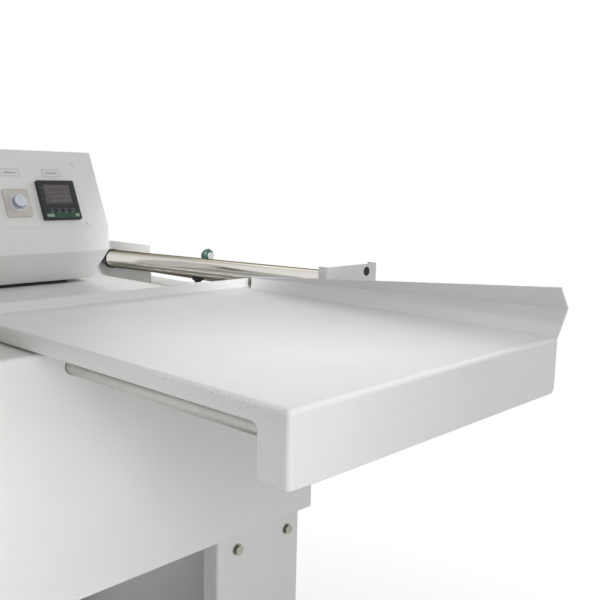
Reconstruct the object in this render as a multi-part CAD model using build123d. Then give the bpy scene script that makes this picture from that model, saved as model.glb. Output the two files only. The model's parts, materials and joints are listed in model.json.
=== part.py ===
from build123d import *
import os
from math import cos, radians, sin

# L bar sealer: a floor-standing film sealer with a sliding product tray at its infeed end.
# Working frame, in millimetres: X = 0 at the tray's left edge, Y = 0 at the apron's front face and
# Z = 0 at the tray's surface. Finished pieces are moved to the machine's own frame, whose origin
# lies on the floor under the middle of the machine.

# Whole machine
TRAY_HEIGHT = 900.0          # tray surface above the floor
BODY_LEFT = -640.0           # left end of the table
TABLE_MARGIN = 8.0           # table's right end beyond the tray's right side
BODY_DEPTH = 660.0           # apron face to rear face
TABLE_DROP = 21.6            # tray surface above the table top
APRON_HEIGHT = 309.4         # table top to the apron's lower edge
SHEET = 2.0                  # sheet steel
BEND = 4.0                   # bend radius on the sheet's centre line
FIT = 0.2                    # gap between pieces that are bolted together
RUNNING = 0.05               # radial clearance of a turning or sliding fit
SLIDE_GAP = 0.1              # clearance on each side of a slider on a flat bar
CLEAR = 0.3                  # gap between faces that close on each other
EDGE_LIP = 18.0              # stiffening return at a sheet's free edge
POINT_TOLERANCE = 0.001      # how near a point counts as the same point
HOLE_TOOL = 24.0             # length of the tools that cut panel holes
EIGHTH_TURN = radians(45.0)  # middle of a quarter-circle arc

# Pedestals
PEDESTAL_WIDTH = 166.0
PEDESTAL_INSET = 24.0        # from the end of the table
PEDESTAL_FLANGE = 33.0
PEDESTAL_LIP = 11.0
PEDESTAL_OVERLAP = 70.0      # height that reaches up behind the apron
BOLT_SPACING = 102.0
BOLT_OFFSET = 35.5           # from the pedestal's inner edge to the first bolt
BOLT_DROP = 22.0             # bolts below the apron's lower edge
BOLT_R = 4.0
BOLT_HEAD_AF = 13.0
BOLT_HEAD_H = 5.5
BOLT_HEAD_EDGE = 0.3         # flat top of the head inside its flats
WASHER_R = 9.0
WASHER_H = 1.6
CLEAT_THICKNESS = 4.0
CLEAT_MARGIN = 20.0          # cleat beyond its bolts
CLEAT_HEIGHT = 84.0          # bolts to the cleat's top
CLEAT_LEDGE = 30.0
SHELF_HEIGHT = 130.0         # lower shelf above the floor
SHELF_RIM = 30.0

# Levelling feet
FOOT_R = 30.0
FOOT_PAD_H = 14.0
FOOT_HEIGHT = 52.0           # floor to the underside of the pedestal
FOOT_INSET = 50.0
FOOT_PLATE_RISE = 40.0       # turned-up edge of the plate above the feet
STUD_R = 6.0
NUT_AF = 19.0
NUT_H = 8.0

# Product tray
TRAY_WIDTH = 456.0
TRAY_REACH = 393.0           # front of the tray before the apron
TRAY_OVERLAP = 160.0         # rear of the tray over the table
TRAY_FLANGE = 67.5
TRAY_HEM = 18.0
TRAY_TAB = 37.0
TRAY_REAR_LIP = 13.5
TRAY_BEND = 5.0              # outside radius of the tray's folds
TRAY_CORNER = 8.0            # rounded corners of tab and flange
LIP_CREASE_OUT = 23.4        # right lip at the front: crease, then top edge
LIP_CREASE_UP = 31.7
LIP_TOP_OUT = 1.1
LIP_TOP_UP = 58.6
LIP_REAR_CREASE_OUT = 11.3   # right lip at its rear end
LIP_REAR_CREASE_UP = 15.3
LIP_REAR_TOP_OUT = 9.8
LIP_REAR_TOP_UP = 17.6
LIP_REAR_GAP = 14.0          # relief between the lip's top and the rear fold
LIP_REAR_SLANT = 12.0        # lip's foot ends this far before its top
REAR_LIP_BEYOND = 16.0       # rear fold beyond the tray's right side
TRAY_ROD_R = 10.0
TRAY_ROD_INSET = 48.2        # rod axis from the tray's side edge
TRAY_ROD_DROP = 41.0         # rod axis below the tray surface
TRAY_ROD_REAR = 420.0        # rear end of the rods
ROD_HOLE_R = 11.0
BUSH_R = 12.5
BUSH_FLANGE_R = 14.0
BUSH_FLANGE_H = 4.0
BUSH_LENGTH = 26.0
CARRIER_Y = 282.0
CARRIER_DEPTH = 52.0
CARRIER_FOOT = 40.0
SADDLE_LENGTH = 22.0
SADDLE_WIDTH = 18.0
SADDLE_Y = -342.0

# Control box
BOX_RIGHT = 399.0            # from the tray's left edge
BOX_WIDTH = 380.0
BOX_STAND = 208.0            # front band before the table's rear
BOX_BAND_LOW = 41.0
BOX_BAND_HIGH = 85.0
BOX_SLOPE = 143.0            # length of the sloped panel face
BOX_LEAN = 24.4              # degrees from upright
BOX_UNDERCUT = 58.0          # depth of the lower bevel
BOX_BOTTOM_GAP = 6.0         # box above the table top
BOX_REAR_MARGIN = 30.0       # box before the table's rear
BOX_EDGE_R = 4.0
BASE_STRIP_RIGHT = 48.0      # base strip's end from the box's right end
BASE_STRIP_WIDTH = 16.0
PLATE_THICKNESS = 1.5
PLATE_WIDTH = 312.0
PLATE_HEIGHT = 122.0
PLATE_FROM_RIGHT = 34.0
PLATE_UP = 1.0
PLATE_CORNER = 4.0
PANEL_SCREW_R = 4.2          # head
PANEL_SCREW_SHANK_R = 1.6
PANEL_SCREW_H = 1.8
PANEL_SCREW_EDGE = 0.9
PANEL_SCREW_LENGTH = 10.0
PANEL_SCREW_INSET = 5.5

# Temperature controller
CONTROLLER_SIDE = 72.0
CONTROLLER_FROM_RIGHT = 89.5
CONTROLLER_UP = 48.2
CONTROLLER_BEZEL = 7.0
CONTROLLER_CORNER = 2.5
CONTROLLER_CHAMFER = 1.25
CONTROLLER_BODY = 66.0
CONTROLLER_DEPTH = 60.0
DISPLAY_WIDTH = 52.0
DISPLAY_HEIGHT = 36.0
DISPLAY_UP = 10.5
DISPLAY_RECESS = 1.6
DISPLAY_THICKNESS = 0.8
KEY_COUNT = 4
KEY_WIDTH = 9.0
KEY_HEIGHT = 5.0
KEY_PITCH = 13.4
KEY_DOWN = 19.0              # key row below the instrument's middle
KEY_PROUD = 1.0
KEY_POCKET = 5.0
KEY_TRAVEL = 0.6
KEY_CORNER = 1.0
KEY_EDGE = 0.5

# Timer, switch, lamp, inlet and transformer
TIMER_WIDTH = 45.0
TIMER_HEIGHT = 50.0
TIMER_FROM_RIGHT = 166.5
TIMER_UP = 44.0
TIMER_BEZEL = 4.0
TIMER_BODY = 40.0
TIMER_DEPTH = 50.0
DIAL_R = 17.0
DIAL_H = 2.0                 # rim
DIAL_FACE_H = 1.0
DIAL_RIM = 2.0
KNOB_R = 11.0
KNOB_H = 9.0
KNOB_TAPER = 4.0             # degrees
KNOB_FLUTES = 12
KNOB_FLUTE_R = 2.0
POINTER_WIDTH = 2.0
POINTER_LENGTH = 7.7
POINTER_HEIGHT = 0.5
KNOB_STEM_R = 3.0
KNOB_STEM_LENGTH = 8.0
SWITCH_FROM_RIGHT = 300.0
SWITCH_UP = 40.0
SWITCH_WIDTH = 26.0
SWITCH_HEIGHT = 36.0
SWITCH_BEZEL = 2.5
SWITCH_CORNER = 2.0
SWITCH_DEPTH = 24.0
SWITCH_WALL = 2.2            # body beyond the rocker
SWITCH_GAP = 0.8             # rocker to its well
SWITCH_WELL = 12.0
ROCKER_WIDTH = 17.0
ROCKER_HEIGHT = 26.0
ROCKER_AXIS_Z = 0.5
ROCKER_RISE = 4.5
ROCKER_DIP = 2.6             # height of the hollow over the pivot
ROCKER_SKIRT = 5.0
ROCKER_PIVOT_R = 2.0
ROCKER_TILT = 8.0            # degrees either way
LAMP_FROM_RIGHT = 240.0
LAMP_UP = 44.0
LAMP_R = 11.0
LAMP_BODY_R = 8.0
LAMP_RIM = 3.0
LAMP_DEPTH = 30.0
INLET_WIDTH = 48.0
INLET_HEIGHT = 28.0
INLET_RIM = 3.0
INLET_PROUD = 3.0
INLET_DEPTH = 24.0
INLET_Z = 30.0
INLET_SOCKET_WIDTH = 24.0
INLET_SOCKET_HEIGHT = 14.0
INLET_BLADE = 2.0
INLET_BLADE_HEIGHT = 5.0
INLET_BLADE_LENGTH = 12.0
INLET_BLADE_PITCH = 7.0
TRANSFORMER_WIDTH = 90.0
TRANSFORMER_DEPTH = 56.0
TRANSFORMER_HEIGHT = 76.0
COIL_WIDTH = 45.0
COIL_HEIGHT = 38.0
COIL_END = 10.0
COIL_CORNER = 9.0

# Film unit at the right-hand end
DECK_WIDTH = 176.0
DECK_DROP = 42.0             # deck below the tray surface
DECK_FLANGE = 78.0
DECK_EDGE = 28.0
DECK_REAR_MARGIN = 5.0       # deck before the table's rear
DECK_BOLTS = 4
FRONT_BRACKET_OUT = 26.0     # brackets, rollers and bar: out from the table's right end
FRONT_BRACKET_WIDTH = 123.0
FRONT_BRACKET_TOP = 44.0
FRONT_BRACKET_FLANGE = 19.0
BRACKET_FOOT = 36.0
PLUG_FROM_RIGHT = 28.0
PLUG_DROP = 12.0
PLUG_R = 7.5
ROLLER_OUT = 46.0
ROLLER_R = 18.0
ROLLER_FRONT_Z = 19.2
ROLLER_REAR_Z = 5.4
ROLLER_FRONT_GAP = 12.0      # bracket to roller end
ROLLER_REAR_GAP = 46.0
ROLLER_WALL = 3.0
ROLLER_PLUG = 14.0
ROLLER_CHAMFER = 1.0
AXLE_R = 6.0
AXLE_END = 4.0               # axle beyond the bracket's outer face
COLLAR_R = 19.5
COLLAR_LENGTH = 10.0
SPACER_R = 12.0
IDLER_OUT = 121.0
IDLER_Z = -10.0
IDLER_R = 14.0
IDLER_GAP = 8.0
REAR_BRACKET_MARGIN = 8.0    # rear bracket before the deck's rear edge
REAR_BRACKET_OUT = 24.0
REAR_BRACKET_WIDTH = 124.0
REAR_BRACKET_TOP = 39.0
REAR_BRACKET_SHOULDER = 18.0 # its lower top edge outside the guard wall
REAR_BRACKET_TOE = 20.0      # how far its curved toe runs out along the deck
PLATE_STEEL = 3.0
GUARD_GAP = 3.5              # roller to guard wall
GUARD_LENGTH = 142.0
GUARD_FOOT = 14.0
BAR_OUT = 88.0
BAR_Z = 6.0
BAR_SIDE = 12.0
PERFORATOR_FROM_REAR = 284.0
BLOCK_LENGTH = 30.0
BLOCK_WIDTH = 22.0
BLOCK_UP = 12.0
BLOCK_DOWN = 20.0
BLOCK_CORNER = 3.0
PIN_WHEEL_R = 13.5
PIN_WHEEL_WIDTH = 11.0
PIN_WHEEL_CHAMFER = 3.0
PIN_WHEEL_SIDE = 11.0        # wheel's axis beside the bar's middle
PIN_WHEEL_Z = 32.0
PIN_AXLE_R = 4.0
PIN_AXLE_HEAD_R = 6.4
PIN_BOSS_R = 8.0
PIN_COUNT = 18
PIN_R = 0.8
PIN_TIP_R = 0.3
PIN_LENGTH = 1.4
WHEEL_GAP = 0.8
ARM_THICKNESS = 4.0
CLAMP_KNOB_R = 13.0
CLAMP_KNOB_H = 10.0
CLAMP_KNOB_Z = -7.0
CLAMP_STEM_R = 4.0
CLAMP_STEM_LENGTH = 18.0
CLAMP_LOBES = 6
CLAMP_SCALLOP_R = 4.0
CLAMP_SCALLOP_OUT = 2.0      # scallop centres beyond the knob

# Sealing head
HEAD_GAP = 79.0              # side jaw left of the control box
JAW_LEFT = -590.0
JAW_WIDTH = 40.0
JAW_FRONT = 16.0             # front jaw behind the apron face
JAW_REAR_GAP = 60.0          # jaw's rear end before the hinge
PAD_WIDTH = 12.0
PAD_GROOVE = 3.0
PAD_PROUD = 3.7
BEAM_WIDTH = 50.0
BEAM_HEIGHT = 45.0
BEAM_CORNER = 5.0
BEAM_WALL_SIDE = 12.0
BEAM_WALL_TOP = 10.0
BEAM_SLOT = 8.0
BEAM_SLOT_DEPTH = 6.0
BEAM_LEFT = -634.0
BLADE_HEIGHT = 22.0
BLADE_EDGE = 3.0
BLADE_FOOT = 16.0
BLADE_FOOT_H = 8.0
HINGE_FROM_REAR = 160.0      # hinge before the table's rear
HINGE_Z = 95.0
HINGE_R = 10.0
HINGE_BOSS_R = 21.0
CHEEK_THICKNESS = 8.0
CHEEK_FRONT = 130.0          # cheek plates' reach along the side beam
CHEEK_NOSE_R = 11.25
CHEEK_TAIL_R = 15.0
BEARING_WIDTH = 30.0
BEARING_GAP = 7.0            # bearing block to cheek
BEARING_BASE = 76.0
BEARING_BASE_H = 14.0
COUNTERWEIGHT_R = 25.0
COUNTERWEIGHT_EDGE = 2.0
COUNTERWEIGHT_BEHIND = 90.0  # behind the hinge
COUNTERWEIGHT_UP = 14.0
TAIL_BOLT_R = 6.0
TAIL_BOLT_HEAD = 6.0
TAIL_BOLT_HEAD_R = 9.6
HANDLE_LEFT = -420.0
HANDLE_LENGTH = 170.0
HANDLE_R = 11.0
HANDLE_EDGE = 5.5
HANDLE_STAND = 42.0
HANDLE_POST_R = 7.0
HANDLE_POST_INSET = 22.0
MAGNET_X = -612.0
MAGNET_R = 18.0
MAGNET_HEIGHT = 24.0
MAGNET_CORE_R = 6.0
MAGNET_COIL_R = 12.0
MAGNET_GROOVE = 6.0
ARMATURE_H = 6.0
ARMATURE_STEM_R = 6.0
BED_LEFT = -588.0
BED_GAP = 14.0               # product bed to the jaws
BED_SLOT_LENGTH = 60.0
BED_SLOT_WIDTH = 8.0
BED_SLOT_ROWS = 4
BED_SLOT_COLUMNS = 5
BED_SLOT_MARGIN_X = 29.0     # bed beyond its pattern of slots
BED_SLOT_MARGIN_Y = 76.0

# Places worked out from the sizes above
FLOOR = -TRAY_HEIGHT
BODY_RIGHT = TRAY_WIDTH + TABLE_MARGIN
DECK_RIGHT = BODY_RIGHT + DECK_WIDTH
DECK_REAR = BODY_DEPTH - DECK_REAR_MARGIN
TABLE_Z = -TABLE_DROP
APRON_LOW = TABLE_Z - APRON_HEIGHT
UNDER_TABLE = TABLE_Z - SHEET
HALF = SHEET / 2
INNER_FRONT = SHEET
INNER_REAR = BODY_DEPTH - SHEET
CENTRE_X = (BODY_LEFT + DECK_RIGHT) / 2
TRAY_FRONT = -TRAY_REACH
ROD_X = (TRAY_ROD_INSET, TRAY_WIDTH - TRAY_ROD_INSET)
ROD_Z = -TRAY_ROD_DROP
BOLT_Z = APRON_LOW - BOLT_DROP
DECK_Z = -DECK_DROP
DECK_BOLT_Z = DECK_Z - DECK_FLANGE / 2
PEDESTAL_TOP = APRON_LOW + PEDESTAL_OVERLAP
PEDESTAL_LOW = FLOOR + FOOT_HEIGHT
PEDESTAL_FRONT = INNER_FRONT + FIT
PEDESTAL_REAR = INNER_REAR - FIT
REAR_MOST = PEDESTAL_REAR + WASHER_H + BOLT_HEAD_H
CENTRE_Y = (REAR_MOST - TRAY_REACH) / 2
# Each pedestal: the X of its outer side and the direction towards the machine's middle
PEDESTALS = {"left": (BODY_LEFT + PEDESTAL_INSET, 1), "right": (BODY_RIGHT - PEDESTAL_INSET, -1)}


def along_x(section, start, end):
    """Extrude a section drawn in Y and Z from X = start to X = end."""
    return extrude(Plane.YZ.offset(start) * section, amount=end - start, dir=(1, 0, 0))


def along_y(section, start, end):
    """Extrude a section drawn in X and Z from Y = start to Y = end."""
    plane = Plane(origin=(0, start, 0), x_dir=(1, 0, 0), z_dir=(0, -1, 0))
    return extrude(plane * section, amount=end - start, dir=(0, 1, 0))


def along_z(section, start, end):
    """Extrude a section drawn in X and Y from Z = start to Z = end."""
    return extrude(Plane.XY.offset(start) * section, amount=end - start, dir=(0, 0, 1))


def folded(points, thickness=SHEET, radius=BEND):
    """The section of a folded sheet from the corner points of its centre line."""
    return trace(FilletPolyline(*points, radius=radius), line_width=thickness)


def block(x, y, z):
    """A rectangular solid from three (low, high) pairs."""
    size = [high - low for low, high in (x, y, z)]
    middle = [(high + low) / 2 for low, high in (x, y, z)]
    return Pos(*middle) * Box(*size)


def rod(radius, start, end):
    """A round bar between two points."""
    reach = Vector(*end) - Vector(*start)
    return extrude(Plane(origin=Vector(*start), z_dir=reach) * Circle(radius), amount=reach.length)


def hexagon_bolt(radius, across_flats, head, reach):
    """A bolt along +Z: washer and hex head above Z = 0, shank below."""
    washer = extrude(Circle(WASHER_R), amount=WASHER_H)
    hexagon = extrude(RegularPolygon(across_flats / 2, 6, major_radius=False), amount=head)
    on_seat = (Align.CENTER, Align.CENTER, Align.MIN)
    crown = Cone(across_flats / 2 + 2 * head, across_flats / 2 - BOLT_HEAD_EDGE, head, align=on_seat)
    cap = Pos(0, 0, WASHER_H) * (hexagon & crown)
    shank = extrude(Circle(radius), amount=-reach)
    return washer + cap + shank


# Body: table cover, end panels, pedestals, shelf and feet

def table_cover():
    """Table top with its front and rear aprons, folded from one sheet."""
    top = TABLE_Z - HALF
    rear = BODY_DEPTH - HALF
    section = folded([(HALF, APRON_LOW), (HALF, top), (rear, top), (rear, APRON_LOW)])
    cover = along_x(section, BODY_LEFT, BODY_RIGHT)
    for x in ROD_X:
        cover -= rod(ROD_HOLE_R, (x, -SHEET, ROD_Z), (x, 2 * SHEET, ROD_Z))
    return cover


def deck_bolt_places():
    """Y of the bolts that hold the film deck to the end panel."""
    return [DECK_REAR * (2 * step + 1) / (2 * DECK_BOLTS) for step in range(DECK_BOLTS)]


def end_panel(outer_x, inward):
    """A flanged panel that closes one end of the cover."""
    face = outer_x + inward * HALF
    edge = face + inward * EDGE_LIP
    front = INNER_FRONT + FIT + HALF
    rear = INNER_REAR - FIT - HALF
    plan = folded([(edge, front), (face, front), (face, rear), (edge, rear)])
    return along_z(plan, APRON_LOW, UNDER_TABLE - BEND)


def end_panels():
    right = end_panel(BODY_RIGHT, -1)
    for y in deck_bolt_places():
        right -= rod(BOLT_R + FIT, (BODY_RIGHT - 2 * SHEET, y, DECK_BOLT_Z),
                     (BODY_RIGHT + SHEET, y, DECK_BOLT_Z))
    return [end_panel(BODY_LEFT, 1), right]


def bolt_places(outer_x, inward):
    """X of a pedestal's two bolts."""
    first = outer_x + inward * (PEDESTAL_WIDTH - BOLT_OFFSET)
    return (first, first - inward * BOLT_SPACING)


def pedestal(outer_x, inward):
    """A folded leg: front face, full-depth side and rear face, with stiffened inner edges."""
    side = outer_x + inward * HALF
    inner = outer_x + inward * (PEDESTAL_WIDTH - HALF)
    lip = inner - inward * PEDESTAL_LIP
    front = PEDESTAL_FRONT + HALF
    rear = PEDESTAL_REAR - HALF
    plan = folded([(lip, front + PEDESTAL_FLANGE), (inner, front + PEDESTAL_FLANGE), (inner, front),
                   (side, front), (side, rear), (inner, rear), (inner, rear - PEDESTAL_FLANGE),
                   (lip, rear - PEDESTAL_FLANGE)])
    leg = along_z(plan, PEDESTAL_LOW, PEDESTAL_TOP)
    for x in bolt_places(outer_x, inward):
        leg -= rod(BOLT_R + FIT, (x, 0, BOLT_Z), (x, BODY_DEPTH, BOLT_Z))
    return leg


def pedestal_bolts():
    bolt = hexagon_bolt(BOLT_R, BOLT_HEAD_AF, BOLT_HEAD_H, SHEET + CLEAT_THICKNESS + BOLT_HEAD_H)
    bolts = []
    for outer_x, inward in PEDESTALS.values():
        for x in bolt_places(outer_x, inward):
            for y, outward in ((PEDESTAL_FRONT, -1), (PEDESTAL_REAR, 1)):
                bolts.append(Plane(origin=(x, y, BOLT_Z), z_dir=(0, outward, 0)) * bolt)
    return bolts


def corner_cleats():
    """Angles behind the pedestal faces, which take the bolts and carry the table's edge."""
    cleats = []
    for outer_x, inward in PEDESTALS.values():
        places = bolt_places(outer_x, inward)
        start = min(places) - CLEAT_MARGIN
        end = max(places) + CLEAT_MARGIN
        for face, inside in ((PEDESTAL_FRONT, 1), (PEDESTAL_REAR, -1)):
            plate = face + inside * (SHEET + CLEAT_THICKNESS / 2)
            ledge = plate + inside * CLEAT_LEDGE
            top = BOLT_Z + CLEAT_HEIGHT
            section = folded([(plate, BOLT_Z - CLEAT_MARGIN), (plate, top), (ledge, top)],
                             thickness=CLEAT_THICKNESS)
            cleat = along_x(section, start, end)
            for x in places:
                cleat -= rod(BOLT_R + FIT, (x, face, BOLT_Z), (x, ledge, BOLT_Z))
            cleats.append(cleat)
    return cleats


def foot_places():
    """X and Y of the four levelling feet."""
    front = PEDESTAL_FRONT + FOOT_INSET
    rear = PEDESTAL_REAR - FOOT_INSET
    middles = [outer_x + inward * PEDESTAL_WIDTH / 2 for outer_x, inward in PEDESTALS.values()]
    return [(x, y) for x in middles for y in (front, rear)]


def foot_plates():
    """Channels in the foot of each pedestal that the levelling feet screw into."""
    front = PEDESTAL_FRONT + SHEET + HALF
    rear = PEDESTAL_REAR - SHEET - HALF
    low = PEDESTAL_LOW + HALF
    high = PEDESTAL_LOW + FOOT_PLATE_RISE
    section = folded([(front, high), (front, low), (rear, low), (rear, high)])
    plates = []
    for outer_x, inward in PEDESTALS.values():
        near = outer_x + inward * (SHEET + BEND)
        far = outer_x + inward * (PEDESTAL_WIDTH - SHEET - PEDESTAL_LIP)
        plate = along_x(section, min(near, far), max(near, far))
        for x, y in foot_places():
            plate -= rod(STUD_R + FIT, (x, y, PEDESTAL_LOW - SHEET), (x, y, PEDESTAL_LOW + 2 * SHEET))
        plates.append(plate)
    return plates


def levelling_feet():
    """Turned feet: pad, stud and lock nut."""
    neck = STUD_R + FOOT_PAD_H / 2
    outline = Polyline((0, 0), (FOOT_R, 0), (FOOT_R, FOOT_PAD_H / 2), (neck, FOOT_PAD_H),
                       (STUD_R, FOOT_PAD_H), (STUD_R, FOOT_HEIGHT + FOOT_PLATE_RISE / 2),
                       (0, FOOT_HEIGHT + FOOT_PLATE_RISE / 2), close=True)
    foot = revolve(Plane.XZ * make_face(outline), axis=Axis.Z)
    nut = extrude(RegularPolygon(NUT_AF / 2, 6, major_radius=False), amount=NUT_H)
    foot += Pos(0, 0, FOOT_HEIGHT - NUT_H) * nut
    return [Pos(x, y, FLOOR) * foot for x, y in foot_places()]


def lower_shelf():
    """A pan between the pedestals."""
    front = PEDESTAL_FRONT + SHEET
    rear = PEDESTAL_REAR - SHEET
    low = FLOOR + SHELF_HEIGHT
    section = folded([(front, low - SHELF_RIM), (front, low), (rear, low), (rear, low - SHELF_RIM)])
    start = PEDESTALS["left"][0] + PEDESTAL_WIDTH + FIT
    end = PEDESTALS["right"][0] - PEDESTAL_WIDTH - FIT
    return along_x(section, start, end)


# Product tray on its two rods

def edges_at(solid, corner):
    """The edges that meet at a corner of a solid."""
    point = Vector(*corner)
    return [edge for edge in solid.edges()
            if any((Vector(v.X, v.Y, v.Z) - point).length < POINT_TOLERANCE for v in edge.vertices())]


def edges_with_middle(solid, middle):
    """The edges of a solid whose middle is at a point."""
    point = Vector(*middle)
    return [edge for edge in solid.edges() if (edge.center() - point).length < POINT_TOLERANCE]


def ribbon(points, thickness=SHEET):
    """A sheet section with mitred folds, from the points of its centre line."""
    path = [Vector(*point) for point in points]
    runs = [(after - before).normalized() for before, after in zip(path, path[1:])]
    normals = [Vector(-run.Y, run.X) for run in runs]
    left = []
    right = []
    for index, point in enumerate(path):
        before = normals[max(index - 1, 0)]
        after = normals[min(index, len(normals) - 1)]
        mitre = (before + after) * (thickness / 2 / (1 + before.dot(after)))
        left.append(point + mitre)
        right.append(point - mitre)
    return make_face(Polyline(*left, *reversed(right), close=True))


def tray_lip():
    """The right lip: two leaves folded to a crease, tapering to the rear."""
    ends = ((TRAY_FRONT, LIP_CREASE_OUT, LIP_CREASE_UP, LIP_TOP_OUT, LIP_TOP_UP),
            (TRAY_OVERLAP - LIP_REAR_GAP, LIP_REAR_CREASE_OUT, LIP_REAR_CREASE_UP,
             LIP_REAR_TOP_OUT, LIP_REAR_TOP_UP))
    faces = []
    for y, crease_out, crease_up, top_out, top_up in ends:
        section = ribbon([(TRAY_WIDTH - SHEET, -HALF), (TRAY_WIDTH, -HALF),
                          (TRAY_WIDTH + crease_out, crease_up), (TRAY_WIDTH + top_out, top_up)])
        plane = Plane(origin=(0, y, 0), x_dir=(1, 0, 0), z_dir=(0, -1, 0))
        faces.append(plane * section)
    rear = TRAY_OVERLAP - LIP_REAR_GAP
    beyond = rear + SHEET
    foot = rear - LIP_REAR_SLANT
    slant = Polygon((foot, -2 * SHEET), (beyond, -2 * SHEET), (beyond, LIP_REAR_TOP_UP),
                    (rear, LIP_REAR_TOP_UP), (foot, 0), align=None)
    return loft(faces, ruled=True) - along_x(slant, 0, TRAY_WIDTH + LIP_CREASE_OUT)


def tray_plate():
    """The folded product tray."""
    flat_end = TRAY_OVERLAP - TRAY_BEND
    outer = block((0, TRAY_WIDTH), (TRAY_FRONT, flat_end), (-TRAY_FLANGE, 0))
    outer = fillet(edges_at(outer, (0, TRAY_FRONT, 0)), TRAY_BEND)
    inner = block((SHEET, TRAY_WIDTH + SHEET), (TRAY_FRONT + SHEET, flat_end + SHEET),
                  (-TRAY_FLANGE - SHEET, -SHEET))
    inner = fillet(edges_at(inner, (SHEET, TRAY_FRONT + SHEET, -SHEET)), TRAY_BEND - SHEET)
    tray = outer - inner
    tab_end = TRAY_FRONT + TRAY_TAB
    below = -TRAY_FLANGE - SHEET
    below_hem = Polygon((tab_end, -TRAY_HEM), (flat_end + SHEET, -TRAY_HEM), (flat_end + SHEET, below),
                        (tab_end, below), align=None)
    inside_corner = below_hem.vertices().sort_by_distance((tab_end, -TRAY_HEM))[0]
    tray -= along_x(fillet(inside_corner, TRAY_CORNER), -SHEET, 2 * SHEET)
    tray = fillet(edges_with_middle(tray, (HALF, tab_end, -TRAY_FLANGE)), TRAY_CORNER)
    tray = fillet(edges_with_middle(tray, (TRAY_WIDTH, TRAY_FRONT + HALF, -TRAY_FLANGE)), TRAY_CORNER)
    rear = TRAY_OVERLAP - HALF
    rear_lip = folded([(flat_end - TRAY_BEND, -HALF), (rear, -HALF), (rear, TRAY_REAR_LIP)])
    tray += along_x(rear_lip, TRAY_BEND, TRAY_WIDTH + REAR_LIP_BEYOND)
    return tray + tray_lip()


def tray_rods():
    return [rod(TRAY_ROD_R, (x, TRAY_FRONT + SHEET, ROD_Z), (x, TRAY_ROD_REAR, ROD_Z)) for x in ROD_X]


def tray_saddles():
    """Blocks that hold the tray on its rods."""
    saddles = []
    for x in ROD_X:
        web = Pos(x, (ROD_Z - SHEET) / 2) * Rectangle(SADDLE_WIDTH, -ROD_Z - SHEET)
        seat = Pos(x, ROD_Z) * Circle(TRAY_ROD_R + RUNNING)
        saddles.append(along_y(web - seat, SADDLE_Y, SADDLE_Y + SADDLE_LENGTH))
    return saddles


CARRIER_FACE = CARRIER_Y - HALF


def rod_bushes():
    """Flanged bushes, against the apron and against the rear carrier."""
    bore = TRAY_ROD_R + RUNNING
    outline = Polyline((bore, 0), (BUSH_FLANGE_R, 0), (BUSH_FLANGE_R, BUSH_FLANGE_H),
                       (BUSH_R, BUSH_FLANGE_H), (BUSH_R, BUSH_LENGTH), (bore, BUSH_LENGTH), close=True)
    bush = revolve(Plane.XZ * make_face(outline), axis=Axis.Z)
    starts = (INNER_FRONT, CARRIER_FACE - BUSH_FLANGE_H)
    return [Plane(origin=(x, y, ROD_Z), z_dir=(0, 1, 0)) * bush for x in ROD_X for y in starts]


def rod_carrier():
    """An angle under the table that holds the rear bushes."""
    top = UNDER_TABLE - HALF
    section = folded([(CARRIER_Y + CARRIER_FOOT, top), (CARRIER_Y, top), (CARRIER_Y, top - CARRIER_DEPTH)])
    carrier = along_x(section, ROD_X[0] - CARRIER_FOOT, ROD_X[1] + CARRIER_FOOT)
    for x in ROD_X:
        carrier -= rod(BUSH_R + FIT, (x, CARRIER_FACE - SHEET, ROD_Z),
                       (x, CARRIER_FACE + 2 * SHEET, ROD_Z))
    return carrier


# Control box and its instruments

BOX_LEFT = BOX_RIGHT - BOX_WIDTH
BOX_FACE_Y = BODY_DEPTH - BOX_STAND
BOX_REAR_Y = BODY_DEPTH - BOX_REAR_MARGIN
BOX_BOTTOM = TABLE_Z + BOX_BOTTOM_GAP
LEAN = radians(BOX_LEAN)
BOX_TOP_Y = BOX_FACE_Y + BOX_SLOPE * sin(LEAN)
BOX_TOP_Z = BOX_BAND_HIGH + BOX_SLOPE * cos(LEAN)
PANEL_FACE = Plane(origin=(BOX_RIGHT, BOX_FACE_Y, BOX_BAND_HIGH), x_dir=(1, 0, 0),
                   z_dir=(0, -cos(LEAN), sin(LEAN)))
INLET_FACE = Plane(origin=(BOX_LEFT + BOX_WIDTH / 2, BOX_REAR_Y, INLET_Z), x_dir=(1, 0, 0),
                   z_dir=(0, 1, 0))
SWITCH_BODY_WIDTH = ROCKER_WIDTH + 2 * SWITCH_WALL
SWITCH_BODY_HEIGHT = ROCKER_HEIGHT + 2 * SWITCH_WALL
INLET_BODY_WIDTH = INLET_WIDTH - 2 * INLET_RIM
INLET_BODY_HEIGHT = INLET_HEIGHT - 2 * INLET_RIM


def on_panel(shape, from_right, up, out=0.0):
    """Set a shape on the sloped face, measured from its lower right corner."""
    return PANEL_FACE * Pos(-from_right, up, out) * shape


def instrument_holes(gap):
    """Tools that cut the panel's four instrument holes."""
    square = Box(CONTROLLER_BODY + 2 * gap, CONTROLLER_BODY + 2 * gap, HOLE_TOOL)
    timer_hole = Box(TIMER_BODY + 2 * gap, TIMER_BODY + 2 * gap, HOLE_TOOL)
    switch_hole = Box(SWITCH_BODY_WIDTH + 2 * gap, SWITCH_BODY_HEIGHT + 2 * gap, HOLE_TOOL)
    lamp_hole = Cylinder(LAMP_BODY_R + gap, HOLE_TOOL)
    return [on_panel(square, CONTROLLER_FROM_RIGHT, CONTROLLER_UP),
            on_panel(timer_hole, TIMER_FROM_RIGHT, TIMER_UP),
            on_panel(switch_hole, SWITCH_FROM_RIGHT, SWITCH_UP),
            on_panel(lamp_hole, LAMP_FROM_RIGHT, LAMP_UP)]


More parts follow.
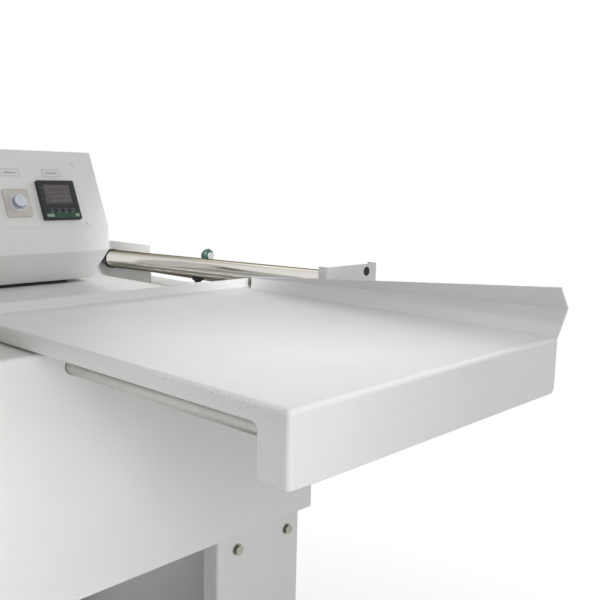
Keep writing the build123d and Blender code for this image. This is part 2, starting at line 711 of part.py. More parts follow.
def panel_screw_places():
    """From the right end and up the slope, for the plate's four screws."""
    left = PLATE_FROM_RIGHT + PLATE_WIDTH
    across = (PLATE_FROM_RIGHT + PANEL_SCREW_INSET, left - PANEL_SCREW_INSET)
    heights = (PLATE_UP + PANEL_SCREW_INSET, PLATE_UP + PLATE_HEIGHT - PANEL_SCREW_INSET)
    return [(from_right, up) for from_right in across for up in heights]


def control_box():
    """Folded shell with an undercut front, an upright band and a sloped instrument face."""
    outline = Polygon((BOX_FACE_Y, BOX_BAND_LOW), (BOX_FACE_Y, BOX_BAND_HIGH), (BOX_TOP_Y, BOX_TOP_Z),
                      (BOX_REAR_Y, BOX_TOP_Z), (BOX_REAR_Y, BOX_BOTTOM),
                      (BOX_FACE_Y + BOX_UNDERCUT, BOX_BOTTOM), align=None)
    outer = fillet(outline.vertices(), BOX_EDGE_R)
    inner = offset(outer, -SHEET)
    shell = along_x(outer, BOX_LEFT, BOX_RIGHT) - along_x(inner, BOX_LEFT + SHEET, BOX_RIGHT - SHEET)
    for hole in instrument_holes(FIT):
        shell -= hole
    for from_right, up in panel_screw_places():
        shell -= on_panel(Cylinder(PANEL_SCREW_SHANK_R + FIT, HOLE_TOOL), from_right, up)
    return shell - INLET_FACE * Box(INLET_BODY_WIDTH + 2 * FIT, INLET_BODY_HEIGHT + 2 * FIT, HOLE_TOOL)


def box_base_strip():
    """Rubber strip that seats the box on the table."""
    length = BOX_WIDTH - BOX_EDGE_R - BASE_STRIP_RIGHT
    front = BOX_FACE_Y + BOX_UNDERCUT + BOX_EDGE_R
    depth = BOX_REAR_Y - 2 * BOX_EDGE_R - front
    middle = Pos(BOX_LEFT + BOX_EDGE_R + length / 2, front + depth / 2)
    hollow = Rectangle(length - 2 * BASE_STRIP_WIDTH, depth - 2 * BASE_STRIP_WIDTH)
    return along_z(middle * (Rectangle(length, depth) - hollow), TABLE_Z, BOX_BOTTOM)


def control_panel():
    plate = extrude(RectangleRounded(PLATE_WIDTH, PLATE_HEIGHT, PLATE_CORNER), amount=PLATE_THICKNESS)
    panel = on_panel(plate, PLATE_FROM_RIGHT + PLATE_WIDTH / 2, PLATE_UP + PLATE_HEIGHT / 2)
    for hole in instrument_holes(FIT):
        panel -= hole
    for from_right, up in panel_screw_places():
        panel -= on_panel(Cylinder(PANEL_SCREW_SHANK_R + FIT, HOLE_TOOL), from_right, up)
    return panel


def panel_screws():
    shank = extrude(Circle(PANEL_SCREW_SHANK_R), amount=-PANEL_SCREW_LENGTH)
    head = extrude(Circle(PANEL_SCREW_R), amount=PANEL_SCREW_H)
    screw = shank + chamfer(head.edges().group_by(Axis.Z)[-1], PANEL_SCREW_EDGE)
    return [on_panel(screw, from_right, up, PLATE_THICKNESS) for from_right, up in panel_screw_places()]


KEY_SHIFTS = [(step - (KEY_COUNT - 1) / 2) * KEY_PITCH for step in range(KEY_COUNT)]
BEZEL_TOP = PLATE_THICKNESS + CONTROLLER_BEZEL


def temperature_controller():
    """Panel instrument: bezel with window and key pockets, body behind the panel."""
    square = RectangleRounded(CONTROLLER_SIDE, CONTROLLER_SIDE, CONTROLLER_CORNER)
    bezel = extrude(square, amount=CONTROLLER_BEZEL)
    bezel = chamfer(bezel.faces().sort_by(Axis.Z)[-1].edges(), CONTROLLER_CHAMFER)
    body = extrude(Rectangle(CONTROLLER_BODY, CONTROLLER_BODY), amount=-CONTROLLER_DEPTH)
    window = Box(DISPLAY_WIDTH, DISPLAY_HEIGHT, 2 * DISPLAY_RECESS)
    instrument = bezel + body - Pos(0, DISPLAY_UP, CONTROLLER_BEZEL) * window
    pocket = Box(KEY_WIDTH + 2 * CLEAR, KEY_HEIGHT + 2 * CLEAR, 2 * KEY_POCKET)
    for shift in KEY_SHIFTS:
        instrument -= Pos(shift, -KEY_DOWN, CONTROLLER_BEZEL) * pocket
    return on_panel(instrument, CONTROLLER_FROM_RIGHT, CONTROLLER_UP, PLATE_THICKNESS)


def controller_display():
    pane = RectangleRounded(DISPLAY_WIDTH - 2 * FIT, DISPLAY_HEIGHT - 2 * FIT, FIT)
    window = extrude(pane, amount=DISPLAY_THICKNESS)
    seated = Pos(0, DISPLAY_UP, -DISPLAY_RECESS) * window
    return on_panel(seated, CONTROLLER_FROM_RIGHT, CONTROLLER_UP, BEZEL_TOP)


def controller_key(shift):
    """A key cap with the gap under it that it is pressed into."""
    depth = KEY_POCKET - KEY_TRAVEL - CLEAR
    cap = extrude(RectangleRounded(KEY_WIDTH, KEY_HEIGHT, KEY_CORNER), amount=depth + KEY_PROUD)
    cap = chamfer(cap.faces().sort_by(Axis.Z)[-1].edges(), KEY_EDGE)
    seated = Pos(shift, -KEY_DOWN, -depth) * cap
    return on_panel(seated, CONTROLLER_FROM_RIGHT, CONTROLLER_UP, BEZEL_TOP)


def timer_body():
    bezel = extrude(RectangleRounded(TIMER_WIDTH, TIMER_HEIGHT, PLATE_CORNER), amount=TIMER_BEZEL)
    body = extrude(Rectangle(TIMER_BODY, TIMER_BODY), amount=-TIMER_DEPTH)
    pit = Pos(0, 0, TIMER_BEZEL) * Cylinder(KNOB_STEM_R + RUNNING, 2 * KNOB_STEM_LENGTH)
    return on_panel(bezel + body - pit, TIMER_FROM_RIGHT, TIMER_UP, PLATE_THICKNESS)


def timer_dial():
    """Raised dial disc with a rim, round the knob."""
    hole = KNOB_STEM_R + 2 * CLEAR
    inside = DIAL_R - DIAL_RIM
    slope = inside - (DIAL_H - DIAL_FACE_H)
    outline = Polyline((hole, 0), (DIAL_R, 0), (DIAL_R, DIAL_H), (inside, DIAL_H), (slope, DIAL_FACE_H),
                       (hole, DIAL_FACE_H), close=True)
    disc = revolve(Plane.XZ * make_face(outline), axis=Axis.Z)
    return on_panel(disc, TIMER_FROM_RIGHT, TIMER_UP, PLATE_THICKNESS + TIMER_BEZEL)


def timer_knob():
    """Fluted knob with a pointer bar."""
    grip = extrude(Circle(KNOB_R), amount=KNOB_H, taper=KNOB_TAPER)
    for turn in range(KNOB_FLUTES):
        flute = Rot(0, 0, turn * 360 / KNOB_FLUTES) * Pos(KNOB_R + KNOB_FLUTE_R / 2, 0, KNOB_H / 2)
        grip -= flute * Cylinder(KNOB_FLUTE_R, 2 * KNOB_H)
    pointer = Pos(0, POINTER_LENGTH / 2, KNOB_H) * Box(POINTER_WIDTH, POINTER_LENGTH, 2 * POINTER_HEIGHT)
    stem = extrude(Circle(KNOB_STEM_R), amount=-KNOB_STEM_LENGTH)
    base = PLATE_THICKNESS + TIMER_BEZEL + DIAL_FACE_H + CLEAR
    return on_panel(grip + pointer + stem, TIMER_FROM_RIGHT, TIMER_UP, base)


def power_switch():
    """Rocker switch frame, open at the front."""
    frame = extrude(RectangleRounded(SWITCH_WIDTH, SWITCH_HEIGHT, SWITCH_CORNER), amount=SWITCH_BEZEL)
    inside_x = ROCKER_WIDTH + 2 * SWITCH_GAP
    inside_y = ROCKER_HEIGHT + 2 * SWITCH_GAP
    body = extrude(Rectangle(SWITCH_BODY_WIDTH, SWITCH_BODY_HEIGHT), amount=-SWITCH_DEPTH)
    well = Pos(0, 0, SWITCH_BEZEL) * Box(inside_x, inside_y, 2 * SWITCH_WELL)
    pins = Pos(0, 0, ROCKER_AXIS_Z) * Rot(0, 90, 0) * Cylinder(ROCKER_PIVOT_R, inside_x + SWITCH_WALL)
    return on_panel(frame + body - well + pins, SWITCH_FROM_RIGHT, SWITCH_UP, PLATE_THICKNESS)


def switch_rocker():
    """Rocker on its pivot pin, resting tipped to one side."""
    half = ROCKER_HEIGHT / 2
    skirt = half - ROCKER_SKIRT
    outline = Polygon((-half, ROCKER_RISE), (0, ROCKER_DIP), (half, ROCKER_RISE), (skirt, -ROCKER_SKIRT),
                      (-skirt, -ROCKER_SKIRT), align=None)
    outline -= Circle(ROCKER_PIVOT_R + RUNNING)
    rocker = along_x(outline, -ROCKER_WIDTH / 2, ROCKER_WIDTH / 2)
    tipped = Pos(0, 0, ROCKER_AXIS_Z) * Rot(ROCKER_TILT, 0, 0) * rocker
    return on_panel(tipped, SWITCH_FROM_RIGHT, SWITCH_UP, PLATE_THICKNESS)


def pilot_lamp():
    """Domed lamp with a bezel ring and a body behind the panel."""
    outline = Polyline((0, -LAMP_DEPTH), (LAMP_BODY_R, -LAMP_DEPTH), (LAMP_BODY_R, 0), (LAMP_R, 0),
                       (LAMP_R, LAMP_RIM), (LAMP_BODY_R, LAMP_RIM))
    diagonal = LAMP_BODY_R * sin(EIGHTH_TURN)
    crown = LAMP_RIM + LAMP_BODY_R
    dome = ThreePointArc((LAMP_BODY_R, LAMP_RIM), (diagonal, LAMP_RIM + diagonal), (0, crown))
    middle_line = Line((0, crown), (0, -LAMP_DEPTH))
    lamp = revolve(Plane.XZ * make_face([outline, dome, middle_line]), axis=Axis.Z)
    return on_panel(lamp, LAMP_FROM_RIGHT, LAMP_UP, PLATE_THICKNESS)


def mains_inlet():
    """Appliance inlet in the rear wall: rim, socket and three blades."""
    rim = extrude(RectangleRounded(INLET_WIDTH, INLET_HEIGHT, INLET_RIM), amount=INLET_PROUD)
    body = extrude(Rectangle(INLET_BODY_WIDTH, INLET_BODY_HEIGHT), amount=-INLET_DEPTH)
    hollow = INLET_DEPTH - INLET_RIM
    socket = Pos(0, 0, INLET_PROUD) * Box(INLET_SOCKET_WIDTH, INLET_SOCKET_HEIGHT, 2 * hollow)
    inlet = rim + body - socket
    blade = extrude(Rectangle(INLET_BLADE, INLET_BLADE_HEIGHT), amount=INLET_BLADE_LENGTH)
    for shift in (-INLET_BLADE_PITCH, 0, INLET_BLADE_PITCH):
        inlet += Pos(shift, 0, -hollow) * blade
    return INLET_FACE * inlet


def transformer():
    """Heating transformer on the box floor: laminated core and two coil ends."""
    stack = Box(TRANSFORMER_WIDTH, TRANSFORMER_DEPTH, TRANSFORMER_HEIGHT)
    coil = Box(COIL_WIDTH, TRANSFORMER_DEPTH + 2 * COIL_END, COIL_HEIGHT)
    coil = fillet(coil.edges().filter_by(Axis.Z), COIL_CORNER)
    middle = BOX_BOTTOM + SHEET + TRANSFORMER_HEIGHT / 2
    return Pos(BOX_LEFT + TRANSFORMER_WIDTH, BOX_REAR_Y - TRANSFORMER_DEPTH, middle) * (stack + coil)


# Film unit at the right-hand end: deck, brackets, rollers and perforator

def film_deck():
    """Folded deck bolted to the end panel."""
    inner = BODY_RIGHT + HALF
    outer = DECK_RIGHT - HALF
    top = DECK_Z - HALF
    section = folded([(inner, DECK_Z - DECK_FLANGE), (inner, top), (outer, top),
                      (outer, DECK_Z - DECK_EDGE)])
    deck = along_y(section, 0, DECK_REAR)
    for y in deck_bolt_places():
        deck -= rod(BOLT_R + FIT, (BODY_RIGHT - SHEET, y, DECK_BOLT_Z),
                    (BODY_RIGHT + 2 * SHEET, y, DECK_BOLT_Z))
    return deck


def deck_bolts():
    bolt = hexagon_bolt(BOLT_R, BOLT_HEAD_AF, BOLT_HEAD_H, 2 * SHEET + BOLT_HEAD_H)
    seat = BODY_RIGHT + SHEET
    return [Plane(origin=(seat, y, DECK_BOLT_Z), z_dir=(1, 0, 0)) * bolt for y in deck_bolt_places()]


FRONT_BRACKET_LEFT = BODY_RIGHT + FRONT_BRACKET_OUT
FRONT_BRACKET_RIGHT = FRONT_BRACKET_LEFT + FRONT_BRACKET_WIDTH
PLUG_X = FRONT_BRACKET_RIGHT - PLUG_FROM_RIGHT
PLUG_Z = FRONT_BRACKET_TOP - PLUG_DROP
REAR_BRACKET_Y = DECK_REAR - REAR_BRACKET_MARGIN
REAR_BRACKET_BACK = REAR_BRACKET_Y + PLATE_STEEL
REAR_BRACKET_LEFT = BODY_RIGHT + REAR_BRACKET_OUT
REAR_BRACKET_RIGHT = REAR_BRACKET_LEFT + REAR_BRACKET_WIDTH
ROLLER_X = BODY_RIGHT + ROLLER_OUT
IDLER_X = BODY_RIGHT + IDLER_OUT
GUARD_X = ROLLER_X + ROLLER_R + GUARD_GAP + HALF


def roller_axis(y):
    """A point on the guide roller's axis, which falls a little to the rear."""
    fall = (ROLLER_REAR_Z - ROLLER_FRONT_Z) * y / REAR_BRACKET_Y
    return Vector(ROLLER_X, y, ROLLER_FRONT_Z + fall)


def idler_axis(y):
    return Vector(IDLER_X, y, IDLER_Z)


def axle(axis):
    return rod(AXLE_R, axis(-AXLE_END), axis(REAR_BRACKET_BACK + AXLE_END))


def axle_hole(axis):
    return rod(AXLE_R + RUNNING, axis(-2 * AXLE_END), axis(REAR_BRACKET_BACK + 2 * AXLE_END))


def front_bracket():
    """Folded upright at the front of the deck, with a foot."""
    left = FRONT_BRACKET_LEFT + HALF
    right = FRONT_BRACKET_RIGHT - HALF
    flange = FRONT_BRACKET_FLANGE
    plan = folded([(left, flange), (left, HALF), (right, HALF), (right, flange)])
    foot = block((left + BEND, right - BEND), (HALF, BRACKET_FOOT), (DECK_Z, DECK_Z + SHEET))
    bracket = along_z(plan, DECK_Z, FRONT_BRACKET_TOP) + foot
    bracket -= rod(PLUG_R, (PLUG_X, -SHEET, PLUG_Z), (PLUG_X, 2 * SHEET, PLUG_Z))
    return bracket - axle_hole(roller_axis) - axle_hole(idler_axis)


def bracket_plug():
    """Rubber plug in the spare hole."""
    outline = Polyline((0, 0), (PLUG_R - FIT, 0), (PLUG_R - FIT, SHEET), (PLUG_R + SHEET, SHEET),
                       (PLUG_R + SHEET, 2 * SHEET), (0, 2 * SHEET), close=True)
    plug = revolve(Plane.XZ * make_face(outline), axis=Axis.Z)
    return Plane(origin=(PLUG_X, 0, PLUG_Z), z_dir=(0, 1, 0)) * plug


def rear_bracket():
    """Flat upright at the rear of the deck with a curved toe and a folded foot."""
    toe_top = DECK_Z + 2 * REAR_BRACKET_TOE
    bend = REAR_BRACKET_TOE * (1 - cos(EIGHTH_TURN))
    toe = ThreePointArc((REAR_BRACKET_LEFT - REAR_BRACKET_TOE, DECK_Z),
                        (REAR_BRACKET_LEFT - bend, DECK_Z + 2 * bend), (REAR_BRACKET_LEFT, toe_top))
    step = GUARD_X + HALF
    rest = Polyline((REAR_BRACKET_LEFT, toe_top), (REAR_BRACKET_LEFT, REAR_BRACKET_TOP),
                    (step, REAR_BRACKET_TOP), (step, REAR_BRACKET_SHOULDER),
                    (REAR_BRACKET_RIGHT, REAR_BRACKET_SHOULDER), (REAR_BRACKET_RIGHT, DECK_Z),
                    (REAR_BRACKET_LEFT - REAR_BRACKET_TOE, DECK_Z))
    plate = along_y(make_face([toe, rest]), REAR_BRACKET_Y, REAR_BRACKET_BACK)
    foot = block((GUARD_X + GUARD_FOOT + SHEET, REAR_BRACKET_RIGHT),
                 (REAR_BRACKET_Y - BRACKET_FOOT, REAR_BRACKET_Y), (DECK_Z, DECK_Z + PLATE_STEEL))
    return plate + foot - axle_hole(roller_axis) - axle_hole(idler_axis)


def roller_guard():
    """Side wall behind the roller's rear end, with a folded foot."""
    low = DECK_Z + HALF
    section = folded([(GUARD_X, REAR_BRACKET_TOP), (GUARD_X, low), (GUARD_X + GUARD_FOOT, low)])
    return along_y(section, REAR_BRACKET_Y - GUARD_LENGTH, REAR_BRACKET_Y)


def roller(axis, radius, start, end):
    """A tube with turned end plugs, on an axis given by a function of Y."""
    reach = axis(end) - axis(start)
    length = reach.length
    bore = AXLE_R + RUNNING
    inside = radius - ROLLER_WALL
    edge = ROLLER_CHAMFER
    outline = Polyline((bore, 0), (radius - edge, 0), (radius, edge), (radius, length - edge),
                       (radius - edge, length), (bore, length), (bore, length - ROLLER_PLUG),
                       (inside, length - ROLLER_PLUG), (inside, ROLLER_PLUG), (bore, ROLLER_PLUG),
                       close=True)
    tube = revolve(Plane.XZ * make_face(outline), axis=Axis.Z)
    return Plane(origin=axis(start), x_dir=(1, 0, 0), z_dir=reach) * tube


ROLLER_START = SHEET + ROLLER_FRONT_GAP
ROLLER_END = REAR_BRACKET_Y - ROLLER_REAR_GAP
IDLER_START = SHEET + IDLER_GAP
IDLER_END = REAR_BRACKET_Y - IDLER_GAP


def collar(axis, start, end, radius):
    """A spacer ring on an axle."""
    ring = rod(radius, axis(start), axis(end))
    return ring - rod(AXLE_R + RUNNING, axis(start - SHEET), axis(end + SHEET))


def roller_collars():
    """Spacers between the rollers and their brackets."""
    shoulder = collar(roller_axis, ROLLER_END + CLEAR, ROLLER_END + COLLAR_LENGTH, COLLAR_R)
    boss = collar(roller_axis, ROLLER_END + COLLAR_LENGTH, REAR_BRACKET_Y - CLEAR, SPACER_R)
    return [collar(roller_axis, SHEET + CLEAR, ROLLER_START - CLEAR, SPACER_R), shoulder + boss,
            collar(idler_axis, SHEET + CLEAR, IDLER_START - CLEAR, SPACER_R),
            collar(idler_axis, IDLER_END + CLEAR, REAR_BRACKET_Y - CLEAR, SPACER_R)]


BAR_X = BODY_RIGHT + BAR_OUT


def perforator_bar():
    half = BAR_SIDE / 2
    return block((BAR_X - half, BAR_X + half), (SHEET, REAR_BRACKET_Y), (BAR_Z - half, BAR_Z + half))


PERFORATOR_Y = REAR_BRACKET_Y - PERFORATOR_FROM_REAR
BLOCK_FRONT = PERFORATOR_Y - BLOCK_LENGTH / 2
BLOCK_REAR = PERFORATOR_Y + BLOCK_LENGTH / 2
WHEEL_REAR = BLOCK_FRONT - WHEEL_GAP
WHEEL_FRONT = WHEEL_REAR - PIN_WHEEL_WIDTH
CLAMP_X = BAR_X - BLOCK_WIDTH / 2
PIN_WHEEL_X = BAR_X - PIN_WHEEL_SIDE


def perforator_block():
    """Slider on the bar, with the arm and stub axle of the pin wheel."""
    body = Pos(BAR_X, BAR_Z + (BLOCK_UP - BLOCK_DOWN) / 2) * Rectangle(BLOCK_WIDTH, BLOCK_UP + BLOCK_DOWN)
    body = fillet(body.vertices(), BLOCK_CORNER)
    hole = Pos(BAR_X, BAR_Z) * Rectangle(BAR_SIDE + 2 * SLIDE_GAP, BAR_SIDE + 2 * SLIDE_GAP)
    bore = rod(CLAMP_STEM_R + RUNNING, (CLAMP_X - SHEET, PERFORATOR_Y, CLAMP_KNOB_Z),
               (BAR_X + BLOCK_WIDTH, PERFORATOR_Y, CLAMP_KNOB_Z))
    slider = along_y(body - hole, BLOCK_FRONT, BLOCK_REAR) - bore
    boss = Pos(PIN_WHEEL_X, PIN_WHEEL_Z) * Circle(PIN_BOSS_R)
    root = Pos(BAR_X, BAR_Z + BLOCK_UP - BLOCK_CORNER) * Rectangle(BLOCK_WIDTH - 2 * BLOCK_CORNER, SHEET)
    arm = along_y(make_hull(boss.edges() + root.edges()), BLOCK_FRONT, BLOCK_FRONT + ARM_THICKNESS)
    stub_end = WHEEL_FRONT - WHEEL_GAP
    stub = rod(PIN_AXLE_R, (PIN_WHEEL_X, BLOCK_FRONT, PIN_WHEEL_Z), (PIN_WHEEL_X, stub_end, PIN_WHEEL_Z))
    head = rod(PIN_AXLE_HEAD_R, (PIN_WHEEL_X, stub_end, PIN_WHEEL_Z),
               (PIN_WHEEL_X, stub_end - SHEET, PIN_WHEEL_Z))
    return slider + arm + stub + head


def pin_wheel():
    """Perforating wheel with a ring of pins."""
    width = PIN_WHEEL_WIDTH
    rim = PIN_WHEEL_R - PIN_LENGTH
    edge = PIN_WHEEL_CHAMFER
    outline = Polyline((PIN_AXLE_R + RUNNING, 0), (rim - edge, 0), (rim, edge), (rim, width - edge),
                       (rim - edge, width), (PIN_AXLE_R + RUNNING, width), close=True)
    wheel = revolve(Plane.XZ * make_face(outline), axis=Axis.Z)
    pin = Pos(rim, 0, width / 2) * Rot(0, 90, 0) * Cone(PIN_R, PIN_TIP_R, 2 * PIN_LENGTH)
    for turn in range(PIN_COUNT):
        wheel += Rot(0, 0, turn * 360 / PIN_COUNT) * pin
    middle = (PIN_WHEEL_X, WHEEL_FRONT, PIN_WHEEL_Z)
    return Plane(origin=middle, x_dir=(1, 0, 0), z_dir=(0, 1, 0)) * wheel


def clamp_knob():
    """Lobed knob whose screw clamps the slider to the bar."""
    grip = Circle(CLAMP_KNOB_R)
    scallop = Pos(CLAMP_KNOB_R + CLAMP_SCALLOP_OUT, 0) * Circle(CLAMP_SCALLOP_R)
    for turn in range(CLAMP_LOBES):
        grip -= Rot(0, 0, (2 * turn + 1) * 180 / CLAMP_LOBES) * scallop
    head = extrude(grip, amount=CLAMP_KNOB_H)
    stem = extrude(Circle(CLAMP_STEM_R), amount=-CLAMP_STEM_LENGTH)
    return Plane(origin=(CLAMP_X - CLEAR, PERFORATOR_Y, CLAMP_KNOB_Z), z_dir=(-1, 0, 0)) * (head + stem)


# Sealing head: lower jaws, upper L arm on its hinge, magnet and product bed

HINGE_Y = BODY_DEPTH - HINGE_FROM_REAR
JAW_RIGHT = BOX_LEFT - HEAD_GAP
JAW_REAR = HINGE_Y - JAW_REAR_GAP
JAW_TOP = -CLEAR - PAD_PROUD
FRONT_SEAL_Y = JAW_FRONT + JAW_WIDTH / 2
SIDE_SEAL_X = JAW_RIGHT - JAW_WIDTH / 2
BEAM_LOW = BLADE_HEIGHT
BEAM_MID = BEAM_LOW + BEAM_HEIGHT / 2
BEAM_RIGHT = SIDE_SEAL_X + BEAM_WIDTH / 2
SIDE_BEAM_FRONT = FRONT_SEAL_Y + BEAM_WIDTH / 2
SIDE_BEAM_REAR = JAW_REAR + BLADE_FOOT


def jaw_section(middle):
    """A lower jaw bar with a groove for its pad."""
    bar = Pos(middle, (TABLE_Z + JAW_TOP) / 2) * Rectangle(JAW_WIDTH, JAW_TOP - TABLE_Z)
    bar = chamfer(bar.vertices().group_by(Axis.Y)[-1], PAD_GROOVE)
    return bar - Pos(middle, JAW_TOP) * Rectangle(PAD_WIDTH, 2 * PAD_GROOVE)


def pad_section(middle):
    low = JAW_TOP - PAD_GROOVE
    pad = Pos(middle, (low - CLEAR) / 2) * Rectangle(PAD_WIDTH - 2 * FIT, -CLEAR - low)
    return fillet(pad.vertices().group_by(Axis.Y)[-1], FIT)


SIDE_JAW_FRONT = JAW_FRONT + JAW_WIDTH


def lower_jaws():
    return [along_x(jaw_section(FRONT_SEAL_Y), JAW_LEFT, JAW_RIGHT),
            along_y(jaw_section(SIDE_SEAL_X), SIDE_JAW_FRONT, JAW_REAR)]


def seal_pads():
    return [along_x(pad_section(FRONT_SEAL_Y), JAW_LEFT, JAW_RIGHT),
            along_y(pad_section(SIDE_SEAL_X), SIDE_JAW_FRONT, JAW_REAR)]


def beam_section(middle):
    """Hollow extrusion with a slot down each side."""
    beam = RectangleRounded(BEAM_WIDTH, BEAM_HEIGHT, BEAM_CORNER)
    hollow_width = BEAM_WIDTH - 2 * BEAM_WALL_SIDE
    hollow = RectangleRounded(hollow_width, BEAM_HEIGHT - 2 * BEAM_WALL_TOP, BEAM_CORNER)
    slot = Rectangle(2 * BEAM_SLOT_DEPTH, BEAM_SLOT)
    beam = beam - hollow - Pos(BEAM_WIDTH / 2, 0) * slot - Pos(-BEAM_WIDTH / 2, 0) * slot
    return Pos(middle, BEAM_MID) * beam


def arm_front_beam():
    return along_x(beam_section(FRONT_SEAL_Y), BEAM_LEFT, BEAM_RIGHT)


def arm_side_beam():
    return along_y(beam_section(SIDE_SEAL_X), SIDE_BEAM_FRONT, SIDE_BEAM_REAR)


def blade_section(middle):
    """Sealing blade: a foot under the beam and a thin edge."""
    foot = Pos(middle, BLADE_HEIGHT - BLADE_FOOT_H / 2) * Rectangle(BLADE_FOOT, BLADE_FOOT_H)
    web = Pos(middle, BLADE_HEIGHT / 2) * Rectangle(BLADE_EDGE, BLADE_HEIGHT)
    return foot + web


def seal_blades():
    side_start = FRONT_SEAL_Y + BLADE_FOOT / 2
    return [along_x(blade_section(FRONT_SEAL_Y), JAW_LEFT, JAW_RIGHT),
            along_y(blade_section(SIDE_SEAL_X), side_start, JAW_REAR)]


HINGE = (HINGE_Y, HINGE_Z)
TAIL = (HINGE_Y + COUNTERWEIGHT_BEHIND, HINGE_Z + COUNTERWEIGHT_UP)
CHEEK_OUTSIDE = BEAM_WIDTH / 2 + CHEEK_THICKNESS


def hinge_cheeks():
    """Two plates that carry the side beam from the hinge, with a tail for the counterweight."""
    nose_y = SIDE_BEAM_REAR - CHEEK_FRONT
    low = BEAM_LOW + CHEEK_NOSE_R
    corner = Circle(CHEEK_NOSE_R)
    nose = Pos(nose_y, low) * corner
    brow = Pos(nose_y, BEAM_LOW + BEAM_HEIGHT - CHEEK_NOSE_R) * corner
    heel = Pos(SIDE_BEAM_REAR - CHEEK_NOSE_R, low) * corner
    boss = Pos(*HINGE) * Circle(HINGE_BOSS_R)
    tail = Pos(*TAIL) * Circle(CHEEK_TAIL_R)
    plate = make_hull(nose.edges() + brow.edges() + heel.edges() + boss.edges())
    plate += make_hull(boss.edges() + tail.edges())
    plate -= Pos(*HINGE) * Circle(HINGE_R + RUNNING)
    plate -= Pos(*TAIL) * Circle(TAIL_BOLT_R + RUNNING)
    inside = BEAM_WIDTH / 2
    return [along_x(plate, SIDE_SEAL_X - CHEEK_OUTSIDE, SIDE_SEAL_X - inside),
            along_x(plate, SIDE_SEAL_X + inside, SIDE_SEAL_X + CHEEK_OUTSIDE)]


BEARING_INSIDE = CHEEK_OUTSIDE + BEARING_GAP
BEARING_OUTSIDE = BEARING_INSIDE + BEARING_WIDTH


def hinge_shaft():
    return rod(HINGE_R, (SIDE_SEAL_X - BEARING_OUTSIDE, *HINGE), (SIDE_SEAL_X + BEARING_OUTSIDE, *HINGE))


def bearing_blocks():
    """Two bored uprights on the table that carry the arm's shaft."""
    base = Pos(HINGE_Y, TABLE_Z + BEARING_BASE_H / 2) * Rectangle(BEARING_BASE, BEARING_BASE_H)
    waist = Pos(HINGE_Y, TABLE_Z + BEARING_BASE_H) * Rectangle(2 * HINGE_BOSS_R + BEARING_BASE_H, FIT)
    boss = Pos(*HINGE) * Circle(HINGE_BOSS_R)
    upright = make_hull(waist.edges() + boss.edges())
    section = base + upright - Pos(*HINGE) * Circle(HINGE_R + RUNNING)
    return [along_x(section, SIDE_SEAL_X - BEARING_OUTSIDE, SIDE_SEAL_X - BEARING_INSIDE),
            along_x(section, SIDE_SEAL_X + BEARING_INSIDE, SIDE_SEAL_X + BEARING_OUTSIDE)]


def counterweight():
    """Round weight between the cheeks, on a bolt through both."""
    half = BEAM_WIDTH / 2 - FIT
    weight = rod(COUNTERWEIGHT_R, (SIDE_SEAL_X - half, *TAIL), (SIDE_SEAL_X + half, *TAIL))
    weight = chamfer(weight.edges().filter_by(GeomType.CIRCLE), COUNTERWEIGHT_EDGE)
    bolt = rod(TAIL_BOLT_R, (SIDE_SEAL_X - CHEEK_OUTSIDE, *TAIL), (SIDE_SEAL_X + CHEEK_OUTSIDE, *TAIL))
    for side in (-1, 1):
        start = SIDE_SEAL_X + side * CHEEK_OUTSIDE
        hexagon = RegularPolygon(TAIL_BOLT_HEAD_R, 6)
        bolt += Plane(origin=(start, *TAIL), z_dir=(side, 0, 0)) * extrude(hexagon, amount=TAIL_BOLT_HEAD)
    return weight + bolt


def arm_handle():
    """Bar handle on two posts."""
    front = FRONT_SEAL_Y - BEAM_WIDTH / 2
    grip_y = front - HANDLE_STAND
    right = HANDLE_LEFT + HANDLE_LENGTH
    grip = rod(HANDLE_R, (HANDLE_LEFT, grip_y, BEAM_MID), (right, grip_y, BEAM_MID))
    grip = fillet(grip.edges().filter_by(GeomType.CIRCLE), HANDLE_EDGE)
    for x in (HANDLE_LEFT + HANDLE_POST_INSET, right - HANDLE_POST_INSET):
        grip += rod(HANDLE_POST_R, (x, grip_y, BEAM_MID), (x, front, BEAM_MID))
    return grip


def electromagnet():
    """Pot magnet that holds the closed arm."""
    top = MAGNET_HEIGHT
    groove = top - MAGNET_GROOVE
    outline = Polyline((0, 0), (MAGNET_R, 0), (MAGNET_R, top), (MAGNET_COIL_R, top),
                       (MAGNET_COIL_R, groove), (MAGNET_CORE_R, groove), (MAGNET_CORE_R, top), (0, top),
                       close=True)
    pot = revolve(Plane.XZ * make_face(outline), axis=Axis.Z)
    return Pos(MAGNET_X, FRONT_SEAL_Y, TABLE_Z) * pot


def armature():
    """Steel disc under the beam that meets the magnet."""
    low = TABLE_Z + MAGNET_HEIGHT + CLEAR
    high = low + ARMATURE_H
    outline = Polyline((0, low), (MAGNET_R, low), (MAGNET_R, high), (ARMATURE_STEM_R, high),
                       (ARMATURE_STEM_R, BEAM_LOW), (0, BEAM_LOW), close=True)
    return Pos(MAGNET_X, FRONT_SEAL_Y, 0) * revolve(Plane.XZ * make_face(outline), axis=Axis.Z)


